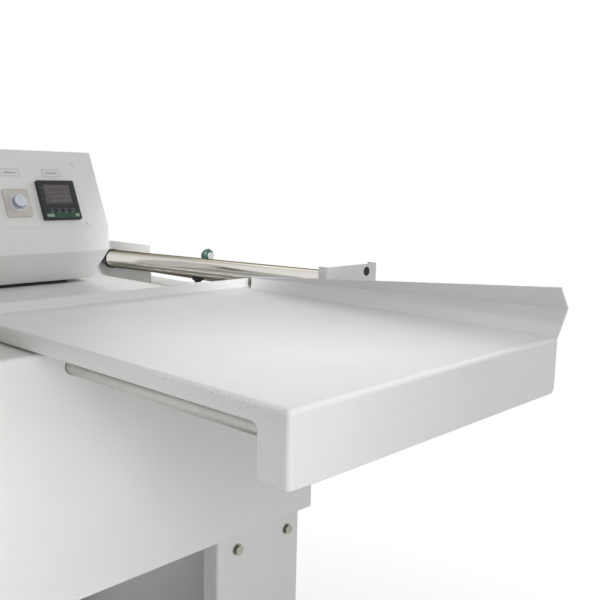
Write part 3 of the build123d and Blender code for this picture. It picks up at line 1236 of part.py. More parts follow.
def product_bed():
    """Slotted bed inside the L, level with the jaws."""
    left = BED_LEFT + HALF
    right = SIDE_SEAL_X - JAW_WIDTH / 2 - BED_GAP - HALF
    top = JAW_TOP + PAD_PROUD - SHEET
    front = SIDE_JAW_FRONT + BED_GAP
    bed = along_y(folded([(left, TABLE_Z), (left, top), (right, top), (right, TABLE_Z)]), front, JAW_REAR)
    pattern_x = right - left - 2 * BED_SLOT_MARGIN_X - BED_SLOT_LENGTH
    pattern_y = JAW_REAR - front - 2 * BED_SLOT_MARGIN_Y - BED_SLOT_WIDTH
    slots = GridLocations(pattern_x / (BED_SLOT_COLUMNS - 1), pattern_y / (BED_SLOT_ROWS - 1),
                          BED_SLOT_COLUMNS, BED_SLOT_ROWS)
    middle = Pos((left + right) / 2, (front + JAW_REAR) / 2)
    slot = SlotOverall(BED_SLOT_LENGTH, BED_SLOT_WIDTH)
    pattern = Sketch() + [middle * place * slot for place in slots]
    return bed - along_z(pattern, top - 2 * SHEET, top + 2 * SHEET)


PIECES = {
    "table_cover": table_cover(),
    "end_panels": end_panels(),
    "pedestal_left": pedestal(*PEDESTALS["left"]),
    "pedestal_right": pedestal(*PEDESTALS["right"]),
    "pedestal_bolts": pedestal_bolts(),
    "corner_cleats": corner_cleats(),
    "foot_plates": foot_plates(),
    "levelling_feet": levelling_feet(),
    "lower_shelf": lower_shelf(),
    "tray_plate": tray_plate(),
    "tray_rods": tray_rods(),
    "tray_saddles": tray_saddles(),
    "rod_bushes": rod_bushes(),
    "rod_carrier": rod_carrier(),
    "control_box": control_box(),
    "box_base_strip": box_base_strip(),
    "control_panel": control_panel(),
    "panel_screws": panel_screws(),
    "temperature_controller": temperature_controller(),
    "controller_display": controller_display(),
    "timer_body": timer_body(),
    "timer_dial": timer_dial(),
    "timer_knob": timer_knob(),
    "power_switch": power_switch(),
    "switch_rocker": switch_rocker(),
    "pilot_lamp": pilot_lamp(),
    "mains_inlet": mains_inlet(),
    "transformer": transformer(),
    "film_deck": film_deck(),
    "deck_bolts": deck_bolts(),
    "front_bracket": front_bracket(),
    "bracket_plug": bracket_plug(),
    "rear_bracket": rear_bracket(),
    "roller_guard": roller_guard(),
    "guide_roller": roller(roller_axis, ROLLER_R, ROLLER_START, ROLLER_END),
    "idler_roller": roller(idler_axis, IDLER_R, IDLER_START, IDLER_END),
    "roller_axles": [axle(roller_axis), axle(idler_axis)],
    "roller_collars": roller_collars(),
    "perforator_bar": perforator_bar(),
    "perforator_block": perforator_block(),
    "pin_wheel": pin_wheel(),
    "clamp_knob": clamp_knob(),
    "lower_jaws": lower_jaws(),
    "seal_pads": seal_pads(),
    "arm_front_beam": arm_front_beam(),
    "arm_side_beam": arm_side_beam(),
    "seal_blades": seal_blades(),
    "hinge_cheeks": hinge_cheeks(),
    "hinge_shaft": hinge_shaft(),
    "bearing_blocks": bearing_blocks(),
    "counterweight": counterweight(),
    "arm_handle": arm_handle(),
    "electromagnet": electromagnet(),
    "armature": armature(),
    "product_bed": product_bed(),
}
for number, shift in enumerate(KEY_SHIFTS, start=1):
    PIECES[f"controller_key_{number}"] = controller_key(shift)

os.makedirs("parts", exist_ok=True)
TO_MACHINE_FRAME = Location((-CENTRE_X, -CENTRE_Y, TRAY_HEIGHT))
for name, piece in PIECES.items():
    solids = piece if isinstance(piece, list) else [piece]
    placed = [solid.moved(TO_MACHINE_FRAME) for solid in solids]
    shape = placed[0] if len(placed) == 1 else Compound(children=placed)
    export_step(shape, f"parts/{name}.step")
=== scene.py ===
# %% [markdown]
# The subject is a floor-standing film sealer, seen close up at the end where the film comes in. Its folded
# sheet-steel parts, rollers and instruments arrive as finished solids, each in its real place and in
# metres. Loading them first fixes every size, so the rest of this lesson only adds finishes and small
# details.

# %% Load the machine
import json
import math
import bmesh
import bpy
from mathutils import Matrix, Vector


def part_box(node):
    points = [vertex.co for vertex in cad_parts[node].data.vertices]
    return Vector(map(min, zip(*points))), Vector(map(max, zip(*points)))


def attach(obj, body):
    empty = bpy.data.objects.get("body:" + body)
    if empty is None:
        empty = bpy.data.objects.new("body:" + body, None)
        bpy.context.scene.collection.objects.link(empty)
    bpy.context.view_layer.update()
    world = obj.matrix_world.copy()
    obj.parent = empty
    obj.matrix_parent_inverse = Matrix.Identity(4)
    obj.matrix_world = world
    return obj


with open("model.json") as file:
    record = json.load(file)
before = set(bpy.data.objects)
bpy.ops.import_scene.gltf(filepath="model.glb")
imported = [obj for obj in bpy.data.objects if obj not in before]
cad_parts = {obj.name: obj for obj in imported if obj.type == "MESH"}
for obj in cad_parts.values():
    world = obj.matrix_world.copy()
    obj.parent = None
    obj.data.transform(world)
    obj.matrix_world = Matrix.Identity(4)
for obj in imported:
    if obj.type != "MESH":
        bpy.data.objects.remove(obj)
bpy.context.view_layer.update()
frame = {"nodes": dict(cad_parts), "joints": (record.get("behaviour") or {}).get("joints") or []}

MM = 0.001
nodes = frame["nodes"]
joints = {joint["name"]: joint for joint in frame["joints"]}
print("nodes:", len(nodes), "joints:", len(joints))

# %% [markdown]
# The camera stands at the operator's side and looks along the tray to the film roller. Its place was worked
# out from the straight edges of tray, table and box. Giving it by its position and three directions, and
# not by angles, lets the numbers be compared with the machine: each direction is a column of the camera's
# own matrix.

# %% Camera
CAMERA_PLACE = Vector((-0.4505, -0.95715, 1.0818))
CAMERA_RIGHT = Vector((0.6847, -0.7285, 0.0222)).normalized()
CAMERA_FORWARD = Vector((0.7227, 0.6748, -0.1495)).normalized()
CAMERA_UP = CAMERA_RIGHT.cross(CAMERA_FORWARD)
SENSOR_WIDTH = 36.0
LENS_LENGTH = 49.23

scene = bpy.context.scene
camera_data = bpy.data.cameras.new("product_camera")
camera_data.sensor_width = SENSOR_WIDTH
camera_data.lens = LENS_LENGTH
camera = bpy.data.objects.new("product_camera", camera_data)
turn = Matrix((CAMERA_RIGHT, CAMERA_UP, -CAMERA_FORWARD)).transposed().to_4x4()
camera.matrix_world = Matrix.Translation(CAMERA_PLACE) @ turn
scene.collection.objects.link(camera)
scene.camera = camera
scene.view_settings.view_transform = "Standard"
print("camera looks", [round(value, 3) for value in CAMERA_FORWARD], "lens", LENS_LENGTH)

# %% [markdown]
# A catalogue picture of a white machine needs a white room. A world that is full white everywhere would
# light the paint so evenly that its folds vanish. So this one is full white where it is looked at or
# mirrored, and softer where it lights the paint. A light-path node tells these rays apart.

# %% White room
ROOM_LIGHT = 0.41
WHITE = (1, 1, 1, 1)


def add(tree, kind, **settings):
    """A shader node: settings that name an input set it, the others are the node's own properties."""
    node = tree.nodes.new("ShaderNode" + kind)
    for key, value in settings.items():
        if hasattr(node, key):
            setattr(node, key, value)
        else:
            node.inputs[key.replace("_", " ")].default_value = value
    return node


def combined(tree, operation, first, second):
    """Two values put together by a math operation."""
    node = add(tree, "Math", operation=operation)
    tree.links.new(first, node.inputs[0])
    tree.links.new(second, node.inputs[1])
    return node.outputs[0]


def seen_directly(tree):
    """1 for rays from the camera, from a mirror or through glass."""
    rays = add(tree, "LightPath").outputs
    seen = combined(tree, "MAXIMUM", rays["Is Camera Ray"], rays["Is Glossy Ray"])
    return combined(tree, "MAXIMUM", seen, rays["Is Transmission Ray"])


world = bpy.data.worlds.new("white_room")
scene.world = world
world.use_nodes = True
room = world.node_tree
background = room.nodes["Background"]
background.inputs["Color"].default_value = WHITE
strength = add(room, "MapRange", To_Min=ROOM_LIGHT, To_Max=1.0)
room.links.new(seen_directly(room), strength.inputs["Value"])
room.links.new(strength.outputs["Result"], background.inputs["Strength"])
print("the room lights the paint at", ROOM_LIGHT)

# %% [markdown]
# The machine stands on a floor that keeps its shadow and has no edge to be seen. A large matt sheet does
# both: far out it glows as white as the room and melts into it, and near the machine it glows only in part,
# so that the shadow stays.

# %% Studio floor
FLOOR_HALF = 14.0
FLOOR_GREY = (0.82, 0.82, 0.82, 1)
NEAR_GLOW = 0.72
NEAR_FLOOR = 0.8
FAR_FLOOR = 1.5

floor_mesh = bpy.data.meshes.new("studio_floor")
corners = [(x * FLOOR_HALF, y * FLOOR_HALF, 0) for x, y in ((-1, -1), (1, -1), (1, 1), (-1, 1))]
floor_mesh.from_pydata(corners, [], [(0, 1, 2, 3)])
floor = bpy.data.objects.new("studio_floor", floor_mesh)
scene.collection.objects.link(floor)
floor_paint = bpy.data.materials.new("studio_floor")
floor_paint.use_nodes = True
tree = floor_paint.node_tree
tree.nodes.clear()
matt = add(tree, "BsdfDiffuse", Color=FLOOR_GREY)
glow = add(tree, "Emission", Color=WHITE, Strength=1.0)
spot = add(tree, "TexCoord")
distance = add(tree, "VectorMath", operation="LENGTH")
tree.links.new(spot.outputs["Object"], distance.inputs[0])
fade = add(tree, "MapRange", From_Min=NEAR_FLOOR, From_Max=FAR_FLOOR, To_Min=NEAR_GLOW, To_Max=1.0)
tree.links.new(distance.outputs["Value"], fade.inputs["Value"])
glow_share = combined(tree, "MULTIPLY", seen_directly(tree), fade.outputs["Result"])
blend = add(tree, "MixShader")
for source, socket in zip((glow_share, matt.outputs[0], glow.outputs[0]), blend.inputs):
    tree.links.new(source, socket)
surface = add(tree, "OutputMaterial")
tree.links.new(blend.outputs[0], surface.inputs["Surface"])
floor_mesh.materials.append(floor_paint)
print("floor:", 2 * FLOOR_HALF, "m wide, full white from", FAR_FLOOR, "m out")

# %% [markdown]
# Even light hides folds, so lamps give the shape. One at the right makes the lip shade the tray beside it,
# and weaker ones at the rear and the front lift the faces that it misses. Small lamps with narrow beams
# then lift the apron, the tray's hem, the shelf space, the tray, its flange and the wall behind the roller,
# each by a little.

# %% Lamps
TRAY_MIDDLE = (0.1, -0.2, 0.9)


def soft_lamp(name, place, target, size, power, beam=180.0):
    """A square area lamp turned towards a point: size in metres, power in watts, beam in degrees."""
    data = bpy.data.lights.new(name, "AREA")
    data.size = size
    data.energy = power
    data.spread = math.radians(beam)
    lamp = bpy.data.objects.new(name, data)
    lamp.location = place
    lamp.rotation_euler = (Vector(target) - Vector(place)).to_track_quat("-Z", "Y").to_euler()
    lamp.visible_camera = False
    scene.collection.objects.link(lamp)


soft_lamp("right_lamp", (2.0, -0.2, 1.6), TRAY_MIDDLE, size=0.8, power=7.5)
soft_lamp("rear_lamp", (1.3, 1.2, 1.8), TRAY_MIDDLE, size=0.8, power=3.0)
soft_lamp("front_lamp", (-0.1, -1.7, 1.2), TRAY_MIDDLE, size=0.7, power=5.5)
soft_lamp("apron_lamp", (-0.5, -1.3, 0.6), (-0.14, -0.13, 0.68), size=0.3, power=0.25, beam=34.0)
soft_lamp("hem_lamp", (-1.0, -0.5, 0.6), (0.05, -0.32, 0.78), size=0.2, power=0.07, beam=32.0)
soft_lamp("shelf_lamp", (-0.6, -1.0, 0.35), (0.3, 0.28, 0.42), size=0.15, power=0.1, beam=18.0)
soft_lamp("tray_lamp", (0.2, -0.55, 2.0), (0.2, -0.45, 0.9), size=0.15, power=0.17, beam=36.0)
soft_lamp("flange_lamp", (-0.3, -1.2, 1.2), (0.08, -0.42, 0.86), size=0.15, power=0.055, beam=34.0)
soft_lamp("roller_lamp", (0.15, -0.55, 1.4), (0.54, 0.2, 0.96), size=0.15, power=0.33, beam=22.0)

# %% [markdown]
# Paints and plastics are known by their colours on a screen, from 0 to 255, while a shader reckons in
# amounts of light, so a small function turns one into the other. Each finish then starts as a material with
# one Principled shader, whose own sockets take the plain values.

# %% Colours and materials
def linear(red, green, blue):
    """The shader's colour for a display colour of 0 to 255."""
    def channel(value):
        share = value / 255
        return share / 12.92 if share <= 0.04045 else ((share + 0.055) / 1.055) ** 2.4
    return (channel(red), channel(green), channel(blue), 1.0)


def shaded(colour, factor):
    """A colour made darker or lighter by a factor."""
    return (*(min(part * factor, 1.0) for part in colour[:3]), 1.0)


def new_finish(name, **sockets):
    """A material with a Principled shader, its sockets set by name. Returns material, tree and shader."""
    material = bpy.data.materials.new(name)
    material.use_nodes = True
    shader = material.node_tree.nodes["Principled BSDF"]
    for key, value in sockets.items():
        shader.inputs[key.replace("_", " ")].default_value = value
    return material, material.node_tree, shader


print("a display grey of 128 is", round(linear(128, 128, 128)[0], 3), "of full light")

# %% [markdown]
# No real surface has one even colour or gloss, so noise drives every finish. It is read at the place in the
# machine's own frame, in metres, so its scale is in patches per metre and needs no unwrapping. Most of a
# noise lies between 0.3 and 0.7, and that range is spread over the shades, gloss and heights that a finish
# needs.

# %% Noise and what it drives
NOISE_LOW = 0.3
NOISE_HIGH = 0.7


def place_of(tree, stretch=(1, 1, 1)):
    """The point in the machine's frame, in metres, stretched along its axes."""
    coordinates = add(tree, "TexCoord")
    mapping = add(tree, "Mapping", Scale=stretch)
    tree.links.new(coordinates.outputs["Object"], mapping.inputs["Vector"])
    return mapping.outputs["Vector"]


def noise(tree, place, scale, detail=2.0, roughness=0.5):
    """A noise value at a place, its scale in patches per metre."""
    texture = add(tree, "TexNoise", Scale=scale, Detail=detail, Roughness=roughness)
    tree.links.new(place, texture.inputs["Vector"])
    return texture.outputs["Fac"]


def level(tree, value, low, high, to_low=0.0, to_high=1.0):
    """Map a value's range to another, held at both ends."""
    node = add(tree, "MapRange", From_Min=low, From_Max=high, To_Min=to_low, To_Max=to_high)
    tree.links.new(value, node.inputs["Value"])
    return node.outputs["Result"]


def blotched(tree, value, colour, dark, pale):
    """A colour that wanders with a noise between a darker and a paler shade of itself."""
    node = add(tree, "ValToRGB")
    stops = ((NOISE_LOW, dark), (NOISE_HIGH, pale))
    for element, (position, factor) in zip(node.color_ramp.elements, stops):
        element.position = position
        element.color = shaded(colour, factor)
    tree.links.new(value, node.inputs["Fac"])
    return node.outputs["Color"]


def mixed(tree, factor, first, second):
    """A colour between two, the second of them a socket or a plain colour."""
    node = add(tree, "Mix", data_type="RGBA")
    tree.links.new(factor, node.inputs["Factor"])
    tree.links.new(first, node.inputs[6])
    if isinstance(second, tuple):
        node.inputs[7].default_value = second
    else:
        tree.links.new(second, node.inputs[7])
    return node.outputs[2]


def bumped(tree, height, strength, depth, under):
    """A normal raised by a height over another normal."""
    node = add(tree, "Bump", Strength=strength, Distance=depth)
    tree.links.new(height, node.inputs["Height"])
    tree.links.new(under, node.inputs["Normal"])
    return node.outputs["Normal"]


print("noise is used from", NOISE_LOW, "to", NOISE_HIGH)

# %% [markdown]
# Folds and edges are where light catches and paint wears. The bevel node feels how near an edge is without
# any change to the mesh: its rounded normal softens the edge, and where that normal leans away from the
# true one, an edge is near. A second helper marks the surroundings of one place, for wear by hands.

# %% Edges and worn places
BEVEL_SAMPLES = 6
EDGE_LEAN = 0.75


def rounded_normal(tree, radius):
    """A normal that softens sharp edges by a radius."""
    return add(tree, "Bevel", samples=BEVEL_SAMPLES, Radius=radius).outputs["Normal"]


def edge_nearness(tree, radius):
    """0 on a flat face, rising towards 1 at a sharp edge."""
    geometry = add(tree, "NewGeometry")
    dot = add(tree, "VectorMath", operation="DOT_PRODUCT")
    tree.links.new(rounded_normal(tree, radius), dot.inputs[0])
    tree.links.new(geometry.outputs["Normal"], dot.inputs[1])
    return level(tree, dot.outputs["Value"], 1.0, EDGE_LEAN)


def nearness(tree, centre, reach, core):
    """0 outside an egg-shaped space of a given reach along each axis, rising to 1 in its core."""
    mapping = add(tree, "Mapping", vector_type="TEXTURE", Location=centre, Scale=reach)
    tree.links.new(add(tree, "TexCoord").outputs["Object"], mapping.inputs["Vector"])
    length = add(tree, "VectorMath", operation="LENGTH")
    tree.links.new(mapping.outputs["Vector"], length.inputs[0])
    return level(tree, length.outputs["Value"], core, 1.0, 1.0, 0.0)


print("an edge counts in full where the normals' product falls to", EDGE_LEAN)

# %% [markdown]
# Powder coat is the machine's main finish: a baked plastic skin that is never quite smooth. It shows a
# broad, faint change of tone, a few dark specks, an orange-peel swell and a fine grain that catches light,
# and it chips along the folds. Noise at a scale of its own makes each of these, so the same recipe fits any
# folded sheet, and the tray adds a rubbed stretch at its front left corner.

# %% Powder coat
TONE_SCALE = 5.0
GLOSS_SCALE = 60.0
CHIP_SCALE = 95.0
PEEL_SCALE = 240.0
RUB_SCALE = 330.0
SPECK_SCALE = 420.0
GRAIN_SCALE = 1500.0
PEEL_SHARE = 0.45
PEEL_DEPTH = 0.6 * MM
GRAIN_DEPTH = 0.2 * MM
CHIP_REACH = 1.6 * MM
COAT_EDGE = 1.2 * MM
RUB_STRENGTH = 0.75
RUB_SETBACK = 0.08
RUB_HEIGHT = 0.896
RUB_REACH = (0.012, 0.16, 0.016)
RUB_CORE = 0.35


def powder_coat(name, colour, grain=0.25, wear=0.25, speck=0.35, roughness=0.46, rubbed_place=None):
    """Baked coat on sheet steel: tone, grain, specks and worn folds, and one place where hands go."""
    material, tree, shader = new_finish(name, Specular_IOR_Level=0.25)
    place = place_of(tree)
    coat = blotched(tree, noise(tree, place, TONE_SCALE, 3.0), colour, 0.965, 1.03)
    specks = level(tree, noise(tree, place, SPECK_SCALE, 1.0), 0.70, 0.78, 0.0, speck)
    coat = mixed(tree, specks, coat, shaded(colour, 0.55))
    patches = level(tree, noise(tree, place, CHIP_SCALE, 5.0, 0.7), 0.52, 0.72, 0.0, wear)
    chips = combined(tree, "MULTIPLY", edge_nearness(tree, CHIP_REACH), patches)
    coat = mixed(tree, chips, coat, shaded(colour, 0.42))
    if rubbed_place:
        patches = level(tree, noise(tree, place, RUB_SCALE, 3.0, 0.75), 0.58, 0.70, 0.0, RUB_STRENGTH)
        rubs = combined(tree, "MULTIPLY", nearness(tree, rubbed_place, RUB_REACH, RUB_CORE), patches)
        coat = mixed(tree, rubs, coat, shaded(colour, 0.5))
    tree.links.new(coat, shader.inputs["Base Color"])
    gloss = noise(tree, place, GLOSS_SCALE, 3.0)
    tree.links.new(level(tree, gloss, NOISE_LOW, NOISE_HIGH, roughness - 0.05, roughness + 0.06),
                   shader.inputs["Roughness"])
    swell = noise(tree, place, PEEL_SCALE, 2.0)
    peel = bumped(tree, swell, grain * PEEL_SHARE, PEEL_DEPTH, rounded_normal(tree, COAT_EDGE))
    fine = noise(tree, place, GRAIN_SCALE, 1.0)
    tree.links.new(bumped(tree, fine, grain, GRAIN_DEPTH, peel), shader.inputs["Normal"])
    return material


tray_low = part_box("tray_plate")[0]
tray_corner = (tray_low[0], tray_low[1] + RUB_SETBACK, RUB_HEIGHT)
white_coat = powder_coat("white_powder_coat", linear(233, 234, 232))
tray_coat = powder_coat("tray_powder_coat", linear(230, 231, 230), grain=0.32, wear=0.5, speck=0.3,
                        rubbed_place=tray_corner)
box_coat = powder_coat("box_powder_coat", linear(240, 241, 240), grain=0.16, wear=0.1, speck=0.15,
                       roughness=0.42)
print("coats:", white_coat.name, tray_coat.name, box_coat.name)

# %% [markdown]
# The bare metals differ by how they were worked. The film rollers are ground and plated, so they mirror the
# room, with fine lines round them and a dark, warm reflection painted onto the rim where they turn away. The
# tray's rods are drawn and satin, small bolts and axles are zinc plated and blotchy, beams are satin
# aluminium with lines along them, and bushes are turned brass. One function makes them all: the colour, the
# roughness and the stretch of its lines change.

# %% Metals
METAL_TONE_SCALE = 38.0
PAINTED_RIM_START = 0.45
PAINTED_RIM_END = 0.8
LINE_STRENGTH = 0.15
METAL_EDGE = 0.6 * MM
ALUMINIUM = linear(203, 205, 207)


def worked_metal(name, colour, roughness, stretch, line_depth, blotch, rim=None):
    """Bare or plated metal with tool lines along or round it, and a painted dark reflection at the rim if
    given.
    """
    material, tree, shader = new_finish(name, Metallic=1.0)
    blotches = noise(tree, place_of(tree), METAL_TONE_SCALE, 4.0, 0.6)
    tone = blotched(tree, blotches, colour, 1.0 - 2 * blotch, 1.0 + blotch)
    # Painted reflection: where the surface turns away from the view, its colour and specular tint go to the
    # darker rim colour, standing in for dark surroundings mirrored there.
    if rim:
        turned_away = add(tree, "LayerWeight", Blend=0.5).outputs["Facing"]
        tone = mixed(tree, level(tree, turned_away, PAINTED_RIM_START, PAINTED_RIM_END), tone, rim)
        shader.inputs["Specular Tint"].default_value = rim
    tree.links.new(tone, shader.inputs["Base Color"])
    lines = noise(tree, place_of(tree, stretch), 1.0, 2.0)
    tree.links.new(level(tree, lines, NOISE_LOW, NOISE_HIGH, roughness * 0.8, roughness * 1.25),
                   shader.inputs["Roughness"])
    tree.links.new(bumped(tree, lines, LINE_STRENGTH, line_depth, rounded_normal(tree, METAL_EDGE)),
                   shader.inputs["Normal"])
    return material


# The rollers' rim colour is a painted dark reflection, not a colour of the chrome itself.
roller_chrome = worked_metal("ground_chrome", linear(222, 219, 212), roughness=0.13, stretch=(30, 2400, 30),
                             line_depth=0.02 * MM, blotch=0.01, rim=linear(132, 128, 117))
drawn_steel = worked_metal("drawn_steel", linear(208, 208, 205), roughness=0.46, stretch=(30, 900, 30),
                           line_depth=0.04 * MM, blotch=0.03)
zinc_plate = worked_metal("zinc_plate", linear(196, 195, 188), roughness=0.36, stretch=(260, 260, 260),
                          line_depth=0.06 * MM, blotch=0.06)
steel_plate = worked_metal("machined_steel", linear(176, 177, 176), roughness=0.34, stretch=(60, 1500, 1500),
                           line_depth=0.05 * MM, blotch=0.04)
satin_aluminium = worked_metal("satin_aluminium", ALUMINIUM, roughness=0.34, stretch=(1500, 60, 1500),
                               line_depth=0.05 * MM, blotch=0.02)
side_aluminium = worked_metal("satin_aluminium_side", ALUMINIUM, roughness=0.34, stretch=(1500, 1500, 60),
                              line_depth=0.05 * MM, blotch=0.02)
turned_brass = worked_metal("turned_brass", linear(198, 166, 104), roughness=0.3, stretch=(90, 2600, 90),
                            line_depth=0.04 * MM, blotch=0.05)
knob_silver = worked_metal("knob_silver", linear(186, 190, 198), roughness=0.32, stretch=(1200, 60, 1200),
                           line_depth=0.05 * MM, blotch=0.05)
METALS = (roller_chrome, drawn_steel, zinc_plate, steel_plate, satin_aluminium, side_aluminium, turned_brass,
          knob_silver)
print("metals:", [metal.name for metal in METALS])

# %% [markdown]
# Plastics, rubber and printed film are not metals, so colour comes from inside them and only the gloss lies
# on the surface. Moulded housings carry a fine spark-eroded texture, rubber is matt with a dusty bloom, and
# the panel's printed film has hardly any grain. A slow change of tone keeps each from looking like a flat
# fill.

# %% Plastics, rubber, film and inks
BLOOM_SCALE = 45.0
TEXTURE_DEPTH = 0.1 * MM
MOULDED_EDGE = 0.5 * MM


def moulded(name, colour, roughness, grain=0.12, scale=1800.0, bloom=0.12, coat=0.0, shine=0.45):
    """Moulded plastic or rubber with a fine texture and a slight bloom."""
    material, tree, shader = new_finish(name, Coat_Weight=coat, Specular_IOR_Level=shine)
    place = place_of(tree)
    tone = noise(tree, place, BLOOM_SCALE, 4.0, 0.6)
    tree.links.new(blotched(tree, tone, colour, 1.0 - bloom, 1.0 + bloom), shader.inputs["Base Color"])
    texture = noise(tree, place, scale, 2.0)
    tree.links.new(level(tree, texture, NOISE_LOW, NOISE_HIGH, roughness - 0.05, roughness + 0.07),
                   shader.inputs["Roughness"])
    tree.links.new(bumped(tree, texture, grain, TEXTURE_DEPTH, rounded_normal(tree, MOULDED_EDGE)),
                   shader.inputs["Normal"])
    return material


black_plastic = moulded("black_moulding", linear(32, 35, 37), 0.42, shine=0.35)
black_rubber = moulded("black_rubber", linear(34, 34, 33), 0.75, grain=0.3, scale=900.0, bloom=0.2)
panel_film = moulded("panel_film", linear(238, 239, 237), 0.38, grain=0.06, scale=2600.0, bloom=0.012)
dial_white = moulded("dial_white", linear(222, 222, 226), 0.4, grain=0.05, scale=2200.0, bloom=0.02)
timer_beige = moulded("timer_beige", linear(208, 202, 194), 0.45, grain=0.1, bloom=0.03)
key_grey = moulded("key_grey", linear(62, 66, 67), 0.5)
wheel_green = moulded("wheel_green", linear(27, 60, 52), 0.38, grain=0.1, scale=1400.0, bloom=0.1, coat=0.25)
switch_green = moulded("switch_green", linear(30, 112, 58), 0.25, grain=0.05, scale=1400.0, bloom=0.06,
                       coat=0.4)
silicone_red = moulded("silicone_red", linear(150, 62, 48), 0.7, grain=0.25, scale=1200.0, bloom=0.08)
strip_green = moulded("strip_green", linear(58, 90, 72), 0.4, grain=0.05, scale=1600.0, bloom=0.14,
                      shine=0.15)
legend_pale = moulded("legend_pale", linear(150, 170, 156), 0.4, grain=0.05, scale=1600.0, bloom=0.05)
label_pale = moulded("label_pale", linear(232, 233, 233), 0.36, grain=0.05, scale=2200.0, bloom=0.01)
display_smoke = moulded("display_smoke", linear(64, 61, 62), 0.16, grain=0.03, scale=900.0, coat=0.6)
digit_red = moulded("digit_red", linear(122, 98, 96), 0.3, grain=0.03, scale=900.0, bloom=0.1)
digit_grey = moulded("digit_grey", linear(118, 116, 112), 0.3, grain=0.03, scale=900.0, bloom=0.1)
ink_grey = moulded("ink_grey", linear(120, 122, 124), 0.5, grain=0.05, scale=1600.0, bloom=0.06)
line_grey = moulded("line_grey", linear(182, 183, 183), 0.5, grain=0.05, scale=1600.0, bloom=0.04)
print("plastics done:", len(bpy.data.materials), "materials")

# %% [markdown]
# The control panel is a sloped plate, so its own up and out are not those of the room. The timer's knob
# turns about a line that stands square on the panel, so the knob's joint gives the direction out, and the
# rest follows. Measuring solids along such directions tells where their faces lie, with no number copied
# from a drawing.

# %% Directions on the panel
panel_normal = Vector(joints["timer_knob_turn"]["axis"]).normalized()
panel_right = Vector((1, 0, 0))
panel_up = panel_normal.cross(panel_right)


def extent(node, direction):
    """Lowest and highest reach of a node along a direction."""
    reach = [vertex.co.dot(direction) for vertex in nodes[node].data.vertices]
    return min(reach), max(reach)


plate_face = extent("control_panel", panel_normal)[1]
print("panel face lies", round(plate_face, 4), "along its normal")

# %% [markdown]
# Some solids show more than one stuff: a pilot lamp has a plated ring and a red dome, a levelling foot has
# a rubber pad under a zinc screw, and a bolt has a bright washer under a head whose flats are painted darker
# than its face as shade. Each changes at a plane, so a material can ask how far a point lies from a middle
# plane and swap there. The solid stays whole.

# %% Several finishes on one solid
SEAM = 0.1 * MM
SPLIT_TONE_SCALE = 60.0
SPLIT_GRAIN_SCALE = 900.0
SPLIT_GRAIN = 0.12
LAMP_RIM = 3.0 * MM
FOOT_PAD = 7.0 * MM
WASHER = 1.6 * MM
FACE_DEPTH = 0.5 * MM
FRONT_TO_REAR = Vector((0, 1, 0))
UPWARD = Vector((0, 0, 1))


def split_finish(name, direction, height, below, above, middle=0.0, face=None):
    """Two finishes, nearer to a middle plane than a height and beyond it: (colour, roughness, metallic).

    A face is one more height with a colour of its own."""
    material, tree, shader = new_finish(name)
    place = place_of(tree)
    along = add(tree, "VectorMath", operation="DOT_PRODUCT")
    tree.links.new(place, along.inputs[0])
    along.inputs[1].default_value = direction
    away = add(tree, "Math", operation="SUBTRACT")
    tree.links.new(along.outputs["Value"], away.inputs[0])
    away.inputs[1].default_value = middle
    either_side = add(tree, "Math", operation="ABSOLUTE")
    tree.links.new(away.outputs[0], either_side.inputs[0])
    beyond = level(tree, either_side.outputs[0], height - SEAM, height + SEAM)
    tone = noise(tree, place, SPLIT_TONE_SCALE, 4.0)
    colour = mixed(tree, beyond, blotched(tree, tone, below[0], 0.85, 1.1),
                   blotched(tree, tone, above[0], 0.9, 1.08))
    if face:
        face_height, face_colour = face
        on_face = level(tree, either_side.outputs[0], face_height - SEAM, face_height + SEAM)
        colour = mixed(tree, on_face, colour, blotched(tree, tone, face_colour, 0.9, 1.0))
    tree.links.new(colour, shader.inputs["Base Color"])
    tree.links.new(level(tree, beyond, 0, 1, below[1], above[1]), shader.inputs["Roughness"])
    tree.links.new(level(tree, beyond, 0, 1, below[2], above[2]), shader.inputs["Metallic"])
    grain = noise(tree, place, SPLIT_GRAIN_SCALE)
    tree.links.new(bumped(tree, grain, SPLIT_GRAIN, TEXTURE_DEPTH, rounded_normal(tree, METAL_EDGE)),
                   shader.inputs["Normal"])
    return material


lamp_finish = split_finish("lamp_ring_and_lens", panel_normal, LAMP_RIM, middle=plate_face,
                           below=(linear(190, 190, 188), 0.25, 1.0), above=(linear(168, 32, 26), 0.15, 0.0))
leg_front, leg_rear = extent("pedestal_left", FRONT_TO_REAR)
bolt_front, bolt_rear = extent("pedestal_bolts", FRONT_TO_REAR)
# Painted shade: the bolt head's flats take a dark copy of its yellowish zinc and its face a paler one, as
# light falls on them; the white washer is its real paint.
bolt_face = ((bolt_rear - bolt_front) / 2 - FACE_DEPTH, linear(172, 169, 158))
bolt_finish = split_finish("bolt_shaded_head_and_washer", FRONT_TO_REAR, (leg_rear - leg_front) / 2 + WASHER,
                           below=(linear(222, 221, 216), 0.5, 1.0), above=(linear(104, 101, 92), 0.38, 1.0),
                           middle=(leg_front + leg_rear) / 2, face=bolt_face)
foot_finish = split_finish("foot_pad_and_screw", UPWARD, FOOT_PAD,
                           below=(linear(36, 36, 36), 0.7, 0.0), above=(linear(190, 189, 182), 0.35, 1.0))
print("split finishes:", lamp_finish.name, bolt_finish.name, foot_finish.name)

# %% [markdown]
# Every solid now gets the finish its maker would give it. A table of finish to solids reads like a parts
# list and makes it plain when one has been forgotten, which the last line of this cell checks.

